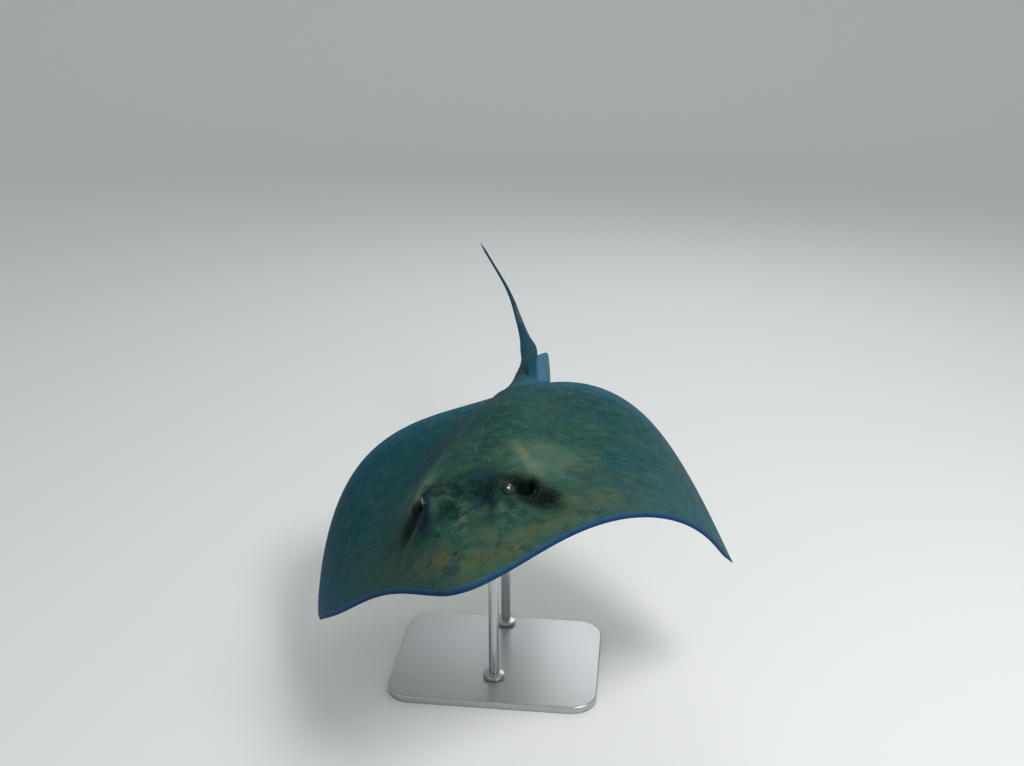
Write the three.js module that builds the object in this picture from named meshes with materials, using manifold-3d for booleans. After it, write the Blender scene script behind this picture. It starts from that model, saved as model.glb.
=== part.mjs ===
// A female southern stingray at life size, swimming, held by a plain display stand.
//
// The animal is drawn flat and level first: x runs to its left, y towards its tail and z up,
// with the middle of its disc at the origin.  pose() then bends the wings along the span, swings
// the tail, banks the body and lifts it to its height above the stand.  Every piece goes through
// the same pose(), so pieces that meet in the flat drawing still meet in the finished model.
// Lengths are millimetres and angles are degrees.

import * as THREE from 'three';
import { mergeVertices } from 'three/addons/utils/BufferGeometryUtils.js';
import Module from 'manifold-3d';

const wasm = await Module();
wasm.setup();

const GAP = 0.3;

// ---- the disc, laid flat ----
const HALF_SPAN = 450;
const SNOUT_Y = -343;
const WING_TIP_Y = 19;
const DISC_REAR_Y = 373;
const SNOUT_ROUNDING = 0.11;
const FRONT_HOLLOW = { whole: 0.018, halves: 0.031, start: 0.07 };
const TIP_ROUNDING_POWER = 60;
const REAR_CURVE = { spanPower: 1.5, reachPower: 0.766 };
const RIM_HALF_THICKNESS = 0.8;
const WING_TOP_RISE = 17;
const WING_BELLY_RISE = 12;
const WING_RISE_RUN = 75;
const DOME_RISE_RUN = 45;
const DOME_RISE_POWER = 1.5;
const DOME_SQUARENESS = 2.6;
const SNOUT_RISE = { height: 7, from: -220, to: -343, halfWidth: 52 };

// The raised middle of the body: half width, height of the back and depth of the belly.
const BODY_STATIONS = [
  { y: -355, halfWidth: 60, back: 3, belly: 2 },
  { y: -270, halfWidth: 80, back: 13, belly: 7 },
  { y: -165, halfWidth: 96, back: 34, belly: 18 },
  { y: -115, halfWidth: 104, back: 46, belly: 28 },
  { y: -40, halfWidth: 112, back: 55, belly: 35 },
  { y: 100, halfWidth: 92, back: 50, belly: 34 },
  { y: 270, halfWidth: 52, back: 28, belly: 20 },
  { y: 390, halfWidth: 30, back: 20, belly: 16 },
];

// ---- where the disc is divided ----
const WING_ROOT_X = 98;
const NECK_Y = -80;
const TRUNK_END_Y = 400;
const CENTRE_COLUMNS = 18;
const HEAD_ROWS = 12;
const TRUNK_ROWS = 13;
const WING_COLUMNS = 13;
const WING_TIP_CROWDING = 1.5;
const WING_TIP_SPAN = 0.9985;

// ---- head ----
const EYE_X = 49;
const EYE_Y = -160;
const EYE_RADIUS = 14;
const EYE_SINK = 0.8;
const ORBIT_HEIGHT = 18;
const ORBIT_INSET = 4;
const ORBIT_HALF_WIDTH = 21;
const ORBIT_HALF_LENGTH = 28;
// The head is held more level than the banking body: its crown leans back against the bank.
const HEAD_LEAN = { slope: 0.25, y: -158, run: 90 };
const SPIRACLE = { x: 71, y: -134, halfWidth: 13, halfLength: 27, depth: 20, sink: 2, toeOut: 18 };
const MOUTH = { y: -162, halfWidth: 38, bow: 9, halfGap: 2.5, cornerHalfGap: 0.4, depth: 6, columns: 10 };
const NOSTRIL = { x: 34, y: -192, halfWidth: 8, halfLength: 6, depth: 5, slant: 35 };
const GILL_SLITS = 5;
const FIRST_SLIT = { x: 84, y: -66 };
const LAST_SLIT = { x: 57, y: 30 };
const SLIT_HALF_LENGTH = 14;
const SLIT_HALF_WIDTH = 1.6;
const SLIT_DEPTH = 4;
const SLIT_SLANT = 14;
const CLOACA = { y: 306, halfWidth: 5, halfLength: 17, depth: 6 };
const HEAD_SEGMENTS = 12;
const BELLY_SEGMENTS = 8;
const SLIT_SEGMENTS = 6;
const BALL_RINGS_SHARE = 0.6;

// ---- tail ----
const TAIL_START_Y = 300;
const TAIL_MIDDLE_Y = 570;
const TAIL_WHIP_Y = 880;
const TAIL_TIP_Y = 1362;
const TAIL_ROOT_HALF_WIDTH = 31;
const TAIL_ROOT_HALF_HEIGHT = 21;
const TAIL_TIP_RADIUS = 2.9;
const TAIL_WIDTH_TAPER = 3.4;
const TAIL_HEIGHT_TAPER = 3.2;
const TAIL_SHOULDER = { y: 580, run: 48, width: 4 };
const TAIL_POINT = { run: 72, share: 0.65 };
const TAIL_SIDES = 12;
const TAIL_STEPS = { root: 5, base: 8, middle: 10, whip: 14 };
const STING = { y: 715, length: 105, halfWidth: 4.2, halfThickness: 1.6, taper: 2.4 };
const STING_LEAN = { up: 8, left: 3 };
const STING_TIP = { halfWidth: 0.3, halfThickness: 0.35 };
const BARBS = { count: 16, firstAt: 0.28, endAt: 0.98, stand: 0.5, neck: 0.8, slope: 0.2 };
const TAIL_FOLD = { start: 760, end: 1140, depth: 13, edge: 1, halfThickness: 0.7, steps: 24 };
const FOLD_SHAPE = { skew: 1.4, fullness: 0.6 };

// ---- pelvic fins ----
const PELVIC = { rootX: 25, front: 318, rear: 430, centreY: 386, width: 28, halfLength: 74, sag: 5 };
const PELVIC_CORNER = { power: 0.75, reach: 0.8 };
const PELVIC_LIFT = { left: 30, right: -16, from: 365, to: 460 };
const PELVIC_THICKNESS = { root: 7, rim: 1.4, taper: 1.5 };
const PELVIC_SWEEP = { from: -80, to: 82 };
const PELVIC_GRID = { columns: 5, rows: 8 };

// ---- the pose ----
// Five control angles from root to tip say how far each wing droops, at its front and rear edge.
const LEFT_WING = { front: [2, 1, 46, 89, 70], rear: [5, 24, 82, 105, 75] };
const RIGHT_WING = { front: [3, 38, 57, 52, 32], rear: [-10, -27, -11, 44, 103] };
const BEND_FRONT_Y = -338;
const BEND_REAR_Y = 382;
const BEND_STEPS = 40;
// The tail turns to the animal's right and rises over two lengths of it.
const TAIL_BEND_START = 385;
const TAIL_BENDS = [
  { start: 460, end: 620, turn: 11.1, rise: 5.8 },
  { start: 800, end: 1100, turn: 4.6, rise: 1.6 },
];
const ROLL = 20.8;
const PITCH = 1.3;
const BODY_CENTRE = new THREE.Vector3(0, -10, 340);

// ---- stand ----
const BASE = { length: 250, width: 330, thickness: 12, corner: 40, bevel: 1.5, cornerSegments: 6 };
const ROD_RADIUS = 8;
const ROD_SIDES = 20;
const ROD_FRONT_Y = -45;
const ROD_REAR_Y = 115;

const radians = THREE.MathUtils.degToRad;
const lerp = THREE.MathUtils.lerp;
const clamp = THREE.MathUtils.clamp;
const smooth = (t) => THREE.MathUtils.smoothstep(t, 0, 1);

// ---------------------------------------------------------------- the flat animal

/** y of the disc's front margin, x to the side of the middle. */
function frontMargin(x) {
  const span = Math.min(Math.abs(x) / HALF_SPAN, 1);
  const r = SNOUT_ROUNDING;
  const run = (Math.hypot(span, r) - r) / (Math.hypot(1, r) - r);
  const wholeWave = FRONT_HOLLOW.whole * Math.sin(Math.PI * span);
  const halfWaves = FRONT_HOLLOW.halves * Math.sin(2 * Math.PI * span);
  const hollow = (wholeWave + halfWaves) * (1 - Math.exp(-((span / FRONT_HOLLOW.start) ** 2)));
  const reach = (1 - run - hollow) * (1 - span ** TIP_ROUNDING_POWER);
  return lerp(WING_TIP_Y, SNOUT_Y, reach);
}

/** y of the disc's rear margin, x to the side of the middle. */
function rearMargin(x) {
  const span = Math.min(Math.abs(x) / HALF_SPAN, 1);
  const reach = Math.max(1 - span ** REAR_CURVE.spanPower, 0) ** REAR_CURVE.reachPower;
  return lerp(WING_TIP_Y, DISC_REAR_Y, reach);
}

/** A body station's value, run smoothly from station to station. */
function alongBody(y, key) {
  const last = BODY_STATIONS.length - 1;
  let i = 0;
  while (i < last - 1 && y > BODY_STATIONS[i + 1].y) i += 1;
  const a = BODY_STATIONS[i];
  const b = BODY_STATIONS[i + 1];
  return lerp(a[key], b[key], smooth((y - a.y) / (b.y - a.y)));
}

/** How far in from the margins a point lies, which sets how thick the disc is there. */
function fromMargin(x, y) {
  const lead = Math.max(y - frontMargin(x), 0);
  const trail = Math.max(rearMargin(x) - y, 0);
  return (lead * trail) / Math.max(lead + trail, 1);
}

/** The dome of the trunk, from 1 on the midline to 0 at the margins. */
function domeShare(x, y) {
  const across = Math.exp(-((Math.abs(x) / alongBody(y, 'halfWidth')) ** DOME_SQUARENESS));
  const inFromEdge = 1 - Math.exp(-((fromMargin(x, y) / DOME_RISE_RUN) ** DOME_RISE_POWER));
  return across * inFromEdge;
}

/** How far the tip of the snout turns up. */
function snoutRise(x, y) {
  const forward = smooth((SNOUT_RISE.from - y) / (SNOUT_RISE.from - SNOUT_RISE.to));
  return SNOUT_RISE.height * forward * Math.exp(-((x / SNOUT_RISE.halfWidth) ** 2));
}

function backHeight(x, y) {
  const wing = WING_TOP_RISE * (1 - Math.exp(-fromMargin(x, y) / WING_RISE_RUN));
  const orbitX = (Math.abs(x) - EYE_X + ORBIT_INSET) / ORBIT_HALF_WIDTH;
  const orbitY = (y - EYE_Y) / ORBIT_HALF_LENGTH;
  const orbit = ORBIT_HEIGHT * Math.exp(-(orbitX ** 2) - orbitY ** 2);
  const share = domeShare(x, y);
  const lean = HEAD_LEAN.slope * x * share * Math.exp(-(((y - HEAD_LEAN.y) / HEAD_LEAN.run) ** 2));
  const dome = alongBody(y, 'back') * share - lean;
  return snoutRise(x, y) + RIM_HALF_THICKNESS + wing + dome + orbit;
}

function bellyHeight(x, y) {
  const wing = WING_BELLY_RISE * (1 - Math.exp(-fromMargin(x, y) / WING_RISE_RUN));
  const dome = alongBody(y, 'belly') * domeShare(x, y);
  return snoutRise(x, y) - RIM_HALF_THICKNESS - wing - dome;
}

/** A half thickness of the tail that falls from its root to a point at its tip. */
function tailTaper(y, root, power) {
  const left = 1 - clamp((y - TAIL_START_Y) / (TAIL_TIP_Y - TAIL_START_Y), 0, 1);
  const point = 1 - TAIL_POINT.share * smooth((y - TAIL_TIP_Y + TAIL_POINT.run) / TAIL_POINT.run);
  return (TAIL_TIP_RADIUS + (root - TAIL_TIP_RADIUS) * left ** power) * point;
}

function tailHalfWidth(y) {
  const ridges = TAIL_SHOULDER.width * Math.exp(-(((y - TAIL_SHOULDER.y) / TAIL_SHOULDER.run) ** 2));
  return tailTaper(y, TAIL_ROOT_HALF_WIDTH, TAIL_WIDTH_TAPER) + ridges;
}

function tailHalfHeight(y) {
  return tailTaper(y, TAIL_ROOT_HALF_HEIGHT, TAIL_HEIGHT_TAPER);
}

// ---------------------------------------------------------------- the pose

/** A curve through control values that starts at 0 and leaves it smoothly. */
function bernstein(controls, t) {
  const n = controls.length;
  let sum = 0;
  let choose = 1;
  for (let k = 1; k <= n; k += 1) {
    choose = (choose * (n - k + 1)) / k;
    sum += controls[k - 1] * choose * t ** k * (1 - t) ** (n - k);
  }
  return sum;
}

/** How far the wing droops at this share of its span, y along the body, in radians. */
function droop(wing, span, y) {
  const frontShare = smooth((BEND_REAR_Y - y) / (BEND_REAR_Y - BEND_FRONT_Y));
  return radians(lerp(bernstein(wing.rear, span), bernstein(wing.front, span), frontShare));
}

function bendWing(p) {
  const wing = p.x < 0 ? RIGHT_WING : LEFT_WING;
  const span = Math.abs(p.x) / HALF_SPAN;
  const step = span / BEND_STEPS;
  let out = 0;
  let down = 0;
  for (let i = 0; i < BEND_STEPS; i += 1) {
    const angle = droop(wing, (i + 0.5) * step, p.y);
    out += Math.cos(angle) * step * HALF_SPAN;
    down += Math.sin(angle) * step * HALF_SPAN;
  }
  const angle = droop(wing, span, p.y);
  out += p.z * Math.sin(angle);
  return new THREE.Vector3(p.x < 0 ? -out : out, p.y, p.z * Math.cos(angle) - down);
}

/** Swings what lies behind TAIL_BEND_START to the animal's right and up. */
function bendTail(p) {
  const along = p.y - TAIL_BEND_START;
  if (along <= 0) return p;
  const centre = new THREE.Vector3(0, TAIL_BEND_START, 0);
  const step = along / BEND_STEPS;
  const heading = (t) => {
    let turn = 0;
    let rise = 0;
    for (const bend of TAIL_BENDS) {
      const share = smooth((TAIL_BEND_START + t - bend.start) / (bend.end - bend.start));
      turn += radians(bend.turn) * share;
      rise += radians(bend.rise) * share;
    }
    const level = Math.cos(rise);
    return new THREE.Vector3(-Math.sin(turn) * level, Math.cos(turn) * level, Math.sin(rise));
  };
  for (let i = 0; i < BEND_STEPS; i += 1) {
    centre.addScaledVector(heading((i + 0.5) * step), step);
  }
  const forward = heading(along);
  const side = new THREE.Vector3(forward.y, -forward.x, 0).normalize();
  const up = new THREE.Vector3().crossVectors(side, forward);
  return centre.addScaledVector(side, p.x).addScaledVector(up, p.z);
}

const ATTITUDE = new THREE.Matrix4()
  .makeTranslation(BODY_CENTRE)
  .multiply(new THREE.Matrix4().makeRotationX(radians(PITCH)))
  .multiply(new THREE.Matrix4().makeRotationY(radians(-ROLL)));

/** Takes a point of the flat animal to its place in the finished model. */
function pose(p) {
  return bendTail(bendWing(p)).applyMatrix4(ATTITUDE);
}

// ---------------------------------------------------------------- building closed meshes

function geometryFrom(points, triangles) {
  const geometry = new THREE.BufferGeometry();
  const coordinates = points.flatMap((p) => [p.x, p.y, p.z]);
  geometry.setAttribute('position', new THREE.Float32BufferAttribute(coordinates, 3));
  geometry.setIndex(triangles);
  return geometry;
}

/** Two sheets of columns x rows points, joined round their edges into one closed body. */
function slab(columns, rows, pointAt) {
  const points = [];
  const triangles = [];
  const perSheet = (columns + 1) * (rows + 1);
  for (const sheet of ['top', 'bottom']) {
    for (let i = 0; i <= columns; i += 1) {
      for (let j = 0; j <= rows; j += 1) points.push(pointAt(i, j, sheet));
    }
  }
  const top = (i, j) => i * (rows + 1) + j;
  const bottom = (i, j) => perSheet + top(i, j);
  const quad = (a, b, c, d) => triangles.push(a, b, c, a, c, d);
  for (let i = 0; i < columns; i += 1) {
    for (let j = 0; j < rows; j += 1) {
      quad(top(i, j), top(i + 1, j), top(i + 1, j + 1), top(i, j + 1));
      quad(bottom(i, j), bottom(i, j + 1), bottom(i + 1, j + 1), bottom(i + 1, j));
    }
  }
  for (let i = 0; i < columns; i += 1) {
    quad(bottom(i, 0), bottom(i + 1, 0), top(i + 1, 0), top(i, 0));
    quad(top(i, rows), top(i + 1, rows), bottom(i + 1, rows), bottom(i, rows));
  }
  for (let j = 0; j < rows; j += 1) {
    quad(top(0, j), top(0, j + 1), bottom(0, j + 1), bottom(0, j));
    quad(bottom(columns, j + 1), top(columns, j + 1), top(columns, j), bottom(columns, j));
  }
  return geometryFrom(points, triangles);
}

/** Rings of points along a line, closed by a flat fan at each end. */
function tube(rings) {
  const sides = rings[0].length;
  const points = rings.flat();
  const triangles = [];
  for (let i = 0; i + 1 < rings.length; i += 1) {
    for (let k = 0; k < sides; k += 1) {
      const a = i * sides + k;
      const b = i * sides + ((k + 1) % sides);
      triangles.push(a, b, b + sides, a, b + sides, a + sides);
    }
  }
  const last = (rings.length - 1) * sides;
  for (let k = 1; k + 1 < sides; k += 1) {
    triangles.push(0, k + 1, k);
    triangles.push(last, last + k, last + k + 1);
  }
  return geometryFrom(points, triangles);
}

/** Moves every corner of a geometry through a function of its point. */
function mapped(geometry, change) {
  const position = geometry.getAttribute('position');
  const point = new THREE.Vector3();
  for (let i = 0; i < position.count; i += 1) {
    point.fromBufferAttribute(position, i);
    const to = change(point);
    position.setXYZ(i, to.x, to.y, to.z);
  }
  return geometry;
}

/** A ball stretched to three radii, turned about z, at a place in the flat animal. */
function ellipsoid(place, radii, turn, segments) {
  const ball = new THREE.SphereGeometry(1, segments, Math.round(segments * BALL_RINGS_SHARE));
  ball.rotateX(Math.PI / 2);
  ball.scale(radii.x, radii.y, radii.z);
  ball.rotateZ(radians(turn));
  ball.translate(place.x, place.y, place.z);
  return ball;
}

function solid(geometry) {
  const bare = geometry.clone();
  bare.deleteAttribute('normal');
  bare.deleteAttribute('uv');
  const welded = mergeVertices(bare, 1e-4);
  const mesh = new wasm.Mesh({
    numProp: 3,
    vertProperties: new Float32Array(welded.getAttribute('position').array),
    triVerts: new Uint32Array(welded.getIndex().array),
  });
  return new wasm.Manifold(mesh);
}

function geometryOf(body) {
  const mesh = body.getMesh();
  const geometry = new THREE.BufferGeometry();
  geometry.setAttribute('position', new THREE.BufferAttribute(new Float32Array(mesh.vertProperties), 3));
  geometry.setIndex(Array.from(mesh.triVerts));
  return geometry;
}

function posedSolid(geometry) {
  return solid(mapped(geometry, pose));
}

// ---------------------------------------------------------------- the disc

function headRow(x, j) {
  return lerp(frontMargin(x), NECK_Y, j / HEAD_ROWS);
}

function trunkRow(x, j) {
  return lerp(NECK_Y, rearMargin(x), j / TRUNK_ROWS);
}

function discPoint(x, y, sheet) {
  return new THREE.Vector3(x, y, sheet === 'top' ? backHeight(x, y) : bellyHeight(x, y));
}

function centreX(i) {
  return lerp(-WING_ROOT_X, WING_ROOT_X, i / CENTRE_COLUMNS);
}

function headBlock() {
  return slab(CENTRE_COLUMNS, HEAD_ROWS, (i, j, sheet) => {
    const x = centreX(i);
    const y = headRow(x, j);
    return discPoint(x, j === HEAD_ROWS ? y - GAP : y, sheet);
  });
}

function trunkBlock() {
  return slab(CENTRE_COLUMNS, TRUNK_ROWS, (i, j, sheet) => {
    const x = centreX(i);
    return discPoint(x, trunkRow(x, j), sheet);
  });
}

/** A wing's rows leave the trunk level with the trunk's own rows, so the two walls match. */
function wingBlock(side) {
  const rows = HEAD_ROWS + TRUNK_ROWS;
  const front = frontMargin(WING_ROOT_X);
  const depth = rearMargin(WING_ROOT_X) - front;
  const rowShare = (j) => {
    const y = j <= HEAD_ROWS ? headRow(WING_ROOT_X, j) : trunkRow(WING_ROOT_X, j - HEAD_ROWS);
    return (y - front) / depth;
  };
  const columnX = (i) => {
    const share = 1 - (1 - i / WING_COLUMNS) ** WING_TIP_CROWDING;
    return lerp(WING_ROOT_X + GAP, HALF_SPAN * WING_TIP_SPAN, share);
  };
  return slab(WING_COLUMNS, rows, (i, j, sheet) => {
    const column = side > 0 ? i : WING_COLUMNS - i;
    const x = columnX(column);
    const y = lerp(frontMargin(x), rearMargin(x), rowShare(j));
    return discPoint(side * x, y, sheet);
  });
}

// ---------------------------------------------------------------- openings in the head and belly

function eyeCentre(side) {
  const top = backHeight(side * (EYE_X - ORBIT_INSET), EYE_Y);
  return new THREE.Vector3(side * EYE_X, EYE_Y, top - EYE_RADIUS * EYE_SINK);
}

function eyeball(side, radius) {
  return ellipsoid(eyeCentre(side), new THREE.Vector3(radius, radius, radius), 0, HEAD_SEGMENTS);
}

function spiracle(side) {
  const place = new THREE.Vector3(side * SPIRACLE.x, SPIRACLE.y, 0);
  place.z = backHeight(place.x, place.y) - SPIRACLE.sink;
  const radii = new THREE.Vector3(SPIRACLE.halfWidth, SPIRACLE.halfLength, SPIRACLE.depth);
  return ellipsoid(place, radii, -side * SPIRACLE.toeOut, HEAD_SEGMENTS);
}

function mouth() {
  return slab(MOUTH.columns, 1, (i, j, sheet) => {
    const across = lerp(-1, 1, i / MOUTH.columns);
    const x = across * MOUTH.halfWidth;
    const halfGap = MOUTH.cornerHalfGap + MOUTH.halfGap * (1 - across ** 2);
    const y = MOUTH.y + MOUTH.bow * (across ** 2 - 0.5) + (j === 0 ? -halfGap : halfGap);
    const lip = bellyHeight(x, y);
    return new THREE.Vector3(x, y, sheet === 'top' ? lip + MOUTH.depth : lip - MOUTH.depth);
  });
}

function nostril(side) {
  const place = new THREE.Vector3(side * NOSTRIL.x, NOSTRIL.y, bellyHeight(NOSTRIL.x, NOSTRIL.y));
  const radii = new THREE.Vector3(NOSTRIL.halfWidth, NOSTRIL.halfLength, NOSTRIL.depth);
  return ellipsoid(place, radii, side * NOSTRIL.slant, BELLY_SEGMENTS);
}

function gillSlit(side, number) {
  const t = number / (GILL_SLITS - 1);
  const x = side * lerp(FIRST_SLIT.x, LAST_SLIT.x, t);
  const y = lerp(FIRST_SLIT.y, LAST_SLIT.y, t);
  const radii = new THREE.Vector3(SLIT_HALF_LENGTH, SLIT_HALF_WIDTH, SLIT_DEPTH);
  return ellipsoid(new THREE.Vector3(x, y, bellyHeight(x, y)), radii, side * SLIT_SLANT, SLIT_SEGMENTS);
}

function cloaca() {
  const place = new THREE.Vector3(0, CLOACA.y, bellyHeight(0, CLOACA.y));
  const radii = new THREE.Vector3(CLOACA.halfWidth, CLOACA.halfLength, CLOACA.depth);
  return ellipsoid(place, radii, 0, BELLY_SEGMENTS);
}

// ---------------------------------------------------------------- the tail

function tailRing(y) {
  return Array.from({ length: TAIL_SIDES }, (_, k) => {
    const angle = Math.PI / 2 + (2 * Math.PI * k) / TAIL_SIDES;
    const x = tailHalfWidth(y) * Math.cos(angle);
    return new THREE.Vector3(x, y, tailHalfHeight(y) * Math.sin(angle));
  }).reverse();
}

function tailLength(from, to, steps) {
  const rings = Array.from({ length: steps + 1 }, (_, i) => tailRing(lerp(from, to, i / steps)));
  return tube(rings);
}

/** The serrated spine on the tail: each ring is a flat diamond, and the barbs point forward. */
function sting() {
  const up = radians(STING_LEAN.up);
  const left = Math.tan(radians(STING_LEAN.left));
  const seat = tailHalfHeight(STING.y) + GAP + STING.halfThickness;
  const ring = (along, halfWidth) => {
    const halfThickness = lerp(STING.halfThickness, STING_TIP.halfThickness, (along / STING.length) ** 2);
    const x = along * left;
    const y = STING.y + along * Math.cos(up);
    const z = seat + along * Math.sin(up);
    return [
      new THREE.Vector3(x - halfWidth, y, z),
      new THREE.Vector3(x, y, z + halfThickness),
      new THREE.Vector3(x + halfWidth, y, z),
      new THREE.Vector3(x, y, z - halfThickness),
    ];
  };
  const blade = (along) => {
    const share = 1 - (along / STING.length) ** STING.taper;
    return lerp(STING_TIP.halfWidth, STING.halfWidth, share);
  };
  const pitch = (STING.length * (BARBS.endAt - BARBS.firstAt)) / BARBS.count;
  const rings = [ring(0, STING.halfWidth * BARBS.neck)];
  for (let i = 0; i < BARBS.count; i += 1) {
    const along = STING.length * BARBS.firstAt + i * pitch;
    rings.push(ring(along, blade(along) + BARBS.stand));
    rings.push(ring(along + pitch * BARBS.slope, blade(along) * BARBS.neck));
  }
  rings.push(ring(STING.length, STING_TIP.halfWidth));
  return tube(rings);
}

/** The low fin of skin along the underside of the tail. */
function tailFold() {
  return slab(TAIL_FOLD.steps, 1, (i, j, sheet) => {
    const t = i / TAIL_FOLD.steps;
    const y = lerp(TAIL_FOLD.end, TAIL_FOLD.start, t);
    const rise = Math.sin(Math.PI * t ** FOLD_SHAPE.skew) ** FOLD_SHAPE.fullness;
    const height = TAIL_FOLD.edge + TAIL_FOLD.depth * rise;
    const top = -tailHalfHeight(y) - GAP;
    const x = sheet === 'top' ? TAIL_FOLD.halfThickness : -TAIL_FOLD.halfThickness;
    return new THREE.Vector3(x, y, j === 0 ? top : top - height);
  });
}

// ---------------------------------------------------------------- the pelvic fins

function pelvicFin(side) {
  const lift = side > 0 ? PELVIC_LIFT.left : PELVIC_LIFT.right;
  const { columns, rows } = PELVIC_GRID;
  return slab(columns, rows, (i, j, sheet) => {
    const out = (side > 0 ? i : columns - i) / columns;
    const v = j / rows;
    const turn = radians(lerp(PELVIC_SWEEP.from, PELVIC_SWEEP.to, v));
    const rootY = lerp(PELVIC.front, PELVIC.rear, v);
    // Past its widest place the edge runs to a corner, not round a curve.
    const squared = (value) => (turn > 0 ? value ** PELVIC_CORNER.power : value);
    const across = squared(Math.cos(turn));
    const along = squared(Math.sin(turn)) * (turn > 0 ? 1 + PELVIC_CORNER.reach * across ** 3 : 1);
    const x = PELVIC.rootX + PELVIC.width * across * out;
    const y = lerp(rootY, PELVIC.centreY + PELVIC.halfLength * along, out);
    const rootShare = (1 - out) ** PELVIC_THICKNESS.taper;
    const thickness = lerp(PELVIC_THICKNESS.rim, PELVIC_THICKNESS.root, rootShare);
    const seat = bellyHeight(x, Math.min(y, rearMargin(x))) - GAP - PELVIC.sag * out;
    const top = seat + lift * smooth((y - PELVIC_LIFT.from) / (PELVIC_LIFT.to - PELVIC_LIFT.from));
    return new THREE.Vector3(side * x, y, sheet === 'top' ? top : top - thickness);
  });
}

// ---------------------------------------------------------------- the stand

function standBase() {
  const shape = new THREE.Shape();
  const halfX = BASE.width / 2 - BASE.bevel;
  const halfY = BASE.length / 2 - BASE.bevel;
  const r = BASE.corner;
  shape.moveTo(halfX, -halfY + r);
  shape.absarc(halfX - r, halfY - r, r, 0, Math.PI / 2);
  shape.absarc(-halfX + r, halfY - r, r, Math.PI / 2, Math.PI);
  shape.absarc(-halfX + r, -halfY + r, r, Math.PI, 1.5 * Math.PI);
  shape.absarc(halfX - r, -halfY + r, r, 1.5 * Math.PI, 2 * Math.PI);
  const plate = new THREE.ExtrudeGeometry(shape, {
    depth: BASE.thickness - 2 * BASE.bevel,
    bevelSize: BASE.bevel,
    bevelThickness: BASE.bevel,
    bevelSegments: 1,
    curveSegments: BASE.cornerSegments,
  });
  return plate.translate(0, 0, BASE.bevel);
}

/** A rod from the base up to the belly, its top shaped to the belly it carries. */
function standRod(y, body) {
  const foot = BASE.thickness + GAP;
  const head = pose(new THREE.Vector3(0, y, 0));
  const rod = new THREE.CylinderGeometry(ROD_RADIUS, ROD_RADIUS, head.z - foot, ROD_SIDES);
  rod.rotateX(Math.PI / 2);
  rod.translate(head.x, head.y, (head.z + foot) / 2);
  return solid(rod).subtract(body.translate([0, 0, -GAP]));
}

// ---------------------------------------------------------------- assembly

const group = new THREE.Group();

function add(name, geometry, color, roughness, metalness = 0) {
  const material = new THREE.MeshStandardMaterial({ color, roughness, metalness });
  const mesh = new THREE.Mesh(geometry, material);
  mesh.name = name;
  group.add(mesh);
}

const SKIN_HEAD = 0x42533f;
const SKIN_BACK = 0x466052;
const SKIN_WING = 0x3c5a58;
const SKIN_TAIL = 0x2b4f58;
const SKIN_PELVIC = 0x577e98;
const EYE_DARK = 0x10161a;
const STING_BONE = 0x8e8a78;
const STEEL = 0xb4b7ba;
const SKIN_ROUGHNESS = 0.45;
const EYE_ROUGHNESS = 0.1;
const STING_ROUGHNESS = 0.5;
const STEEL_ROUGHNESS = 0.3;

const SIDES = [{ side: 1, name: 'left' }, { side: -1, name: 'right' }];

let head = posedSolid(headBlock()).subtract(posedSolid(mouth()));
for (const { side } of SIDES) {
  for (const cutter of [eyeball(side, EYE_RADIUS + GAP), spiracle(side), nostril(side)]) {
    head = head.subtract(posedSolid(cutter));
  }
}

const tailRoot = posedSolid(tailLength(TAIL_START_Y, TRUNK_END_Y, TAIL_STEPS.root));
let trunk = posedSolid(trunkBlock()).add(tailRoot).subtract(posedSolid(cloaca()));
for (const { side } of SIDES) {
  for (let number = 0; number < GILL_SLITS; number += 1) {
    trunk = trunk.subtract(posedSolid(gillSlit(side, number)));
  }
}

add('head', geometryOf(head), SKIN_HEAD, SKIN_ROUGHNESS);
add('trunk', geometryOf(trunk), SKIN_BACK, SKIN_ROUGHNESS);

for (const { side, name } of SIDES) {
  const wing = posedSolid(wingBlock(side));
  add(`pectoral_fin_${name}`, geometryOf(wing), SKIN_WING, SKIN_ROUGHNESS);
  let fin = posedSolid(pelvicFin(side));
  for (const neighbour of [trunk, wing]) {
    fin = fin.subtract(neighbour.translate([0, 0, -GAP]));
    fin = fin.subtract(neighbour.translate([side * GAP, 0, 0]));
  }
  add(`pelvic_fin_${name}`, geometryOf(fin), SKIN_PELVIC, SKIN_ROUGHNESS);
  add(`eye_${name}`, mapped(eyeball(side, EYE_RADIUS), pose), EYE_DARK, EYE_ROUGHNESS);
}

const TAIL_LENGTHS = [
  { name: 'tail_base', from: TRUNK_END_Y, to: TAIL_MIDDLE_Y, steps: TAIL_STEPS.base },
  { name: 'tail_middle', from: TAIL_MIDDLE_Y, to: TAIL_WHIP_Y, steps: TAIL_STEPS.middle },
  { name: 'tail_whip', from: TAIL_WHIP_Y, to: TAIL_TIP_Y, steps: TAIL_STEPS.whip },
];
for (const { name, from, to, steps } of TAIL_LENGTHS) {
  add(name, mapped(tailLength(from + GAP, to, steps), pose), SKIN_TAIL, SKIN_ROUGHNESS);
}
add('tail_fold', mapped(tailFold(), pose), SKIN_TAIL, SKIN_ROUGHNESS);
add('sting', mapped(sting(), pose), STING_BONE, STING_ROUGHNESS);

add('stand_base', standBase(), STEEL, STEEL_ROUGHNESS, 1);
add('stand_rod_front', geometryOf(standRod(ROD_FRONT_Y, trunk)), STEEL, STEEL_ROUGHNESS, 1);
add('stand_rod_rear', geometryOf(standRod(ROD_REAR_Y, trunk)), STEEL, STEEL_ROUGHNESS, 1);

export default group;
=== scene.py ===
"""A female southern stingray at life size, banking as it swims, on a plain display stand.

The animal is drawn flat and level first: x runs to its left, y towards its tail and z up, with the
middle of its disc at the origin.  Pose then bends the wings along their span, swings the tail, banks
the body and lifts it above the stand.  Lengths are metres and angles are degrees unless a name says so.
"""

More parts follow.
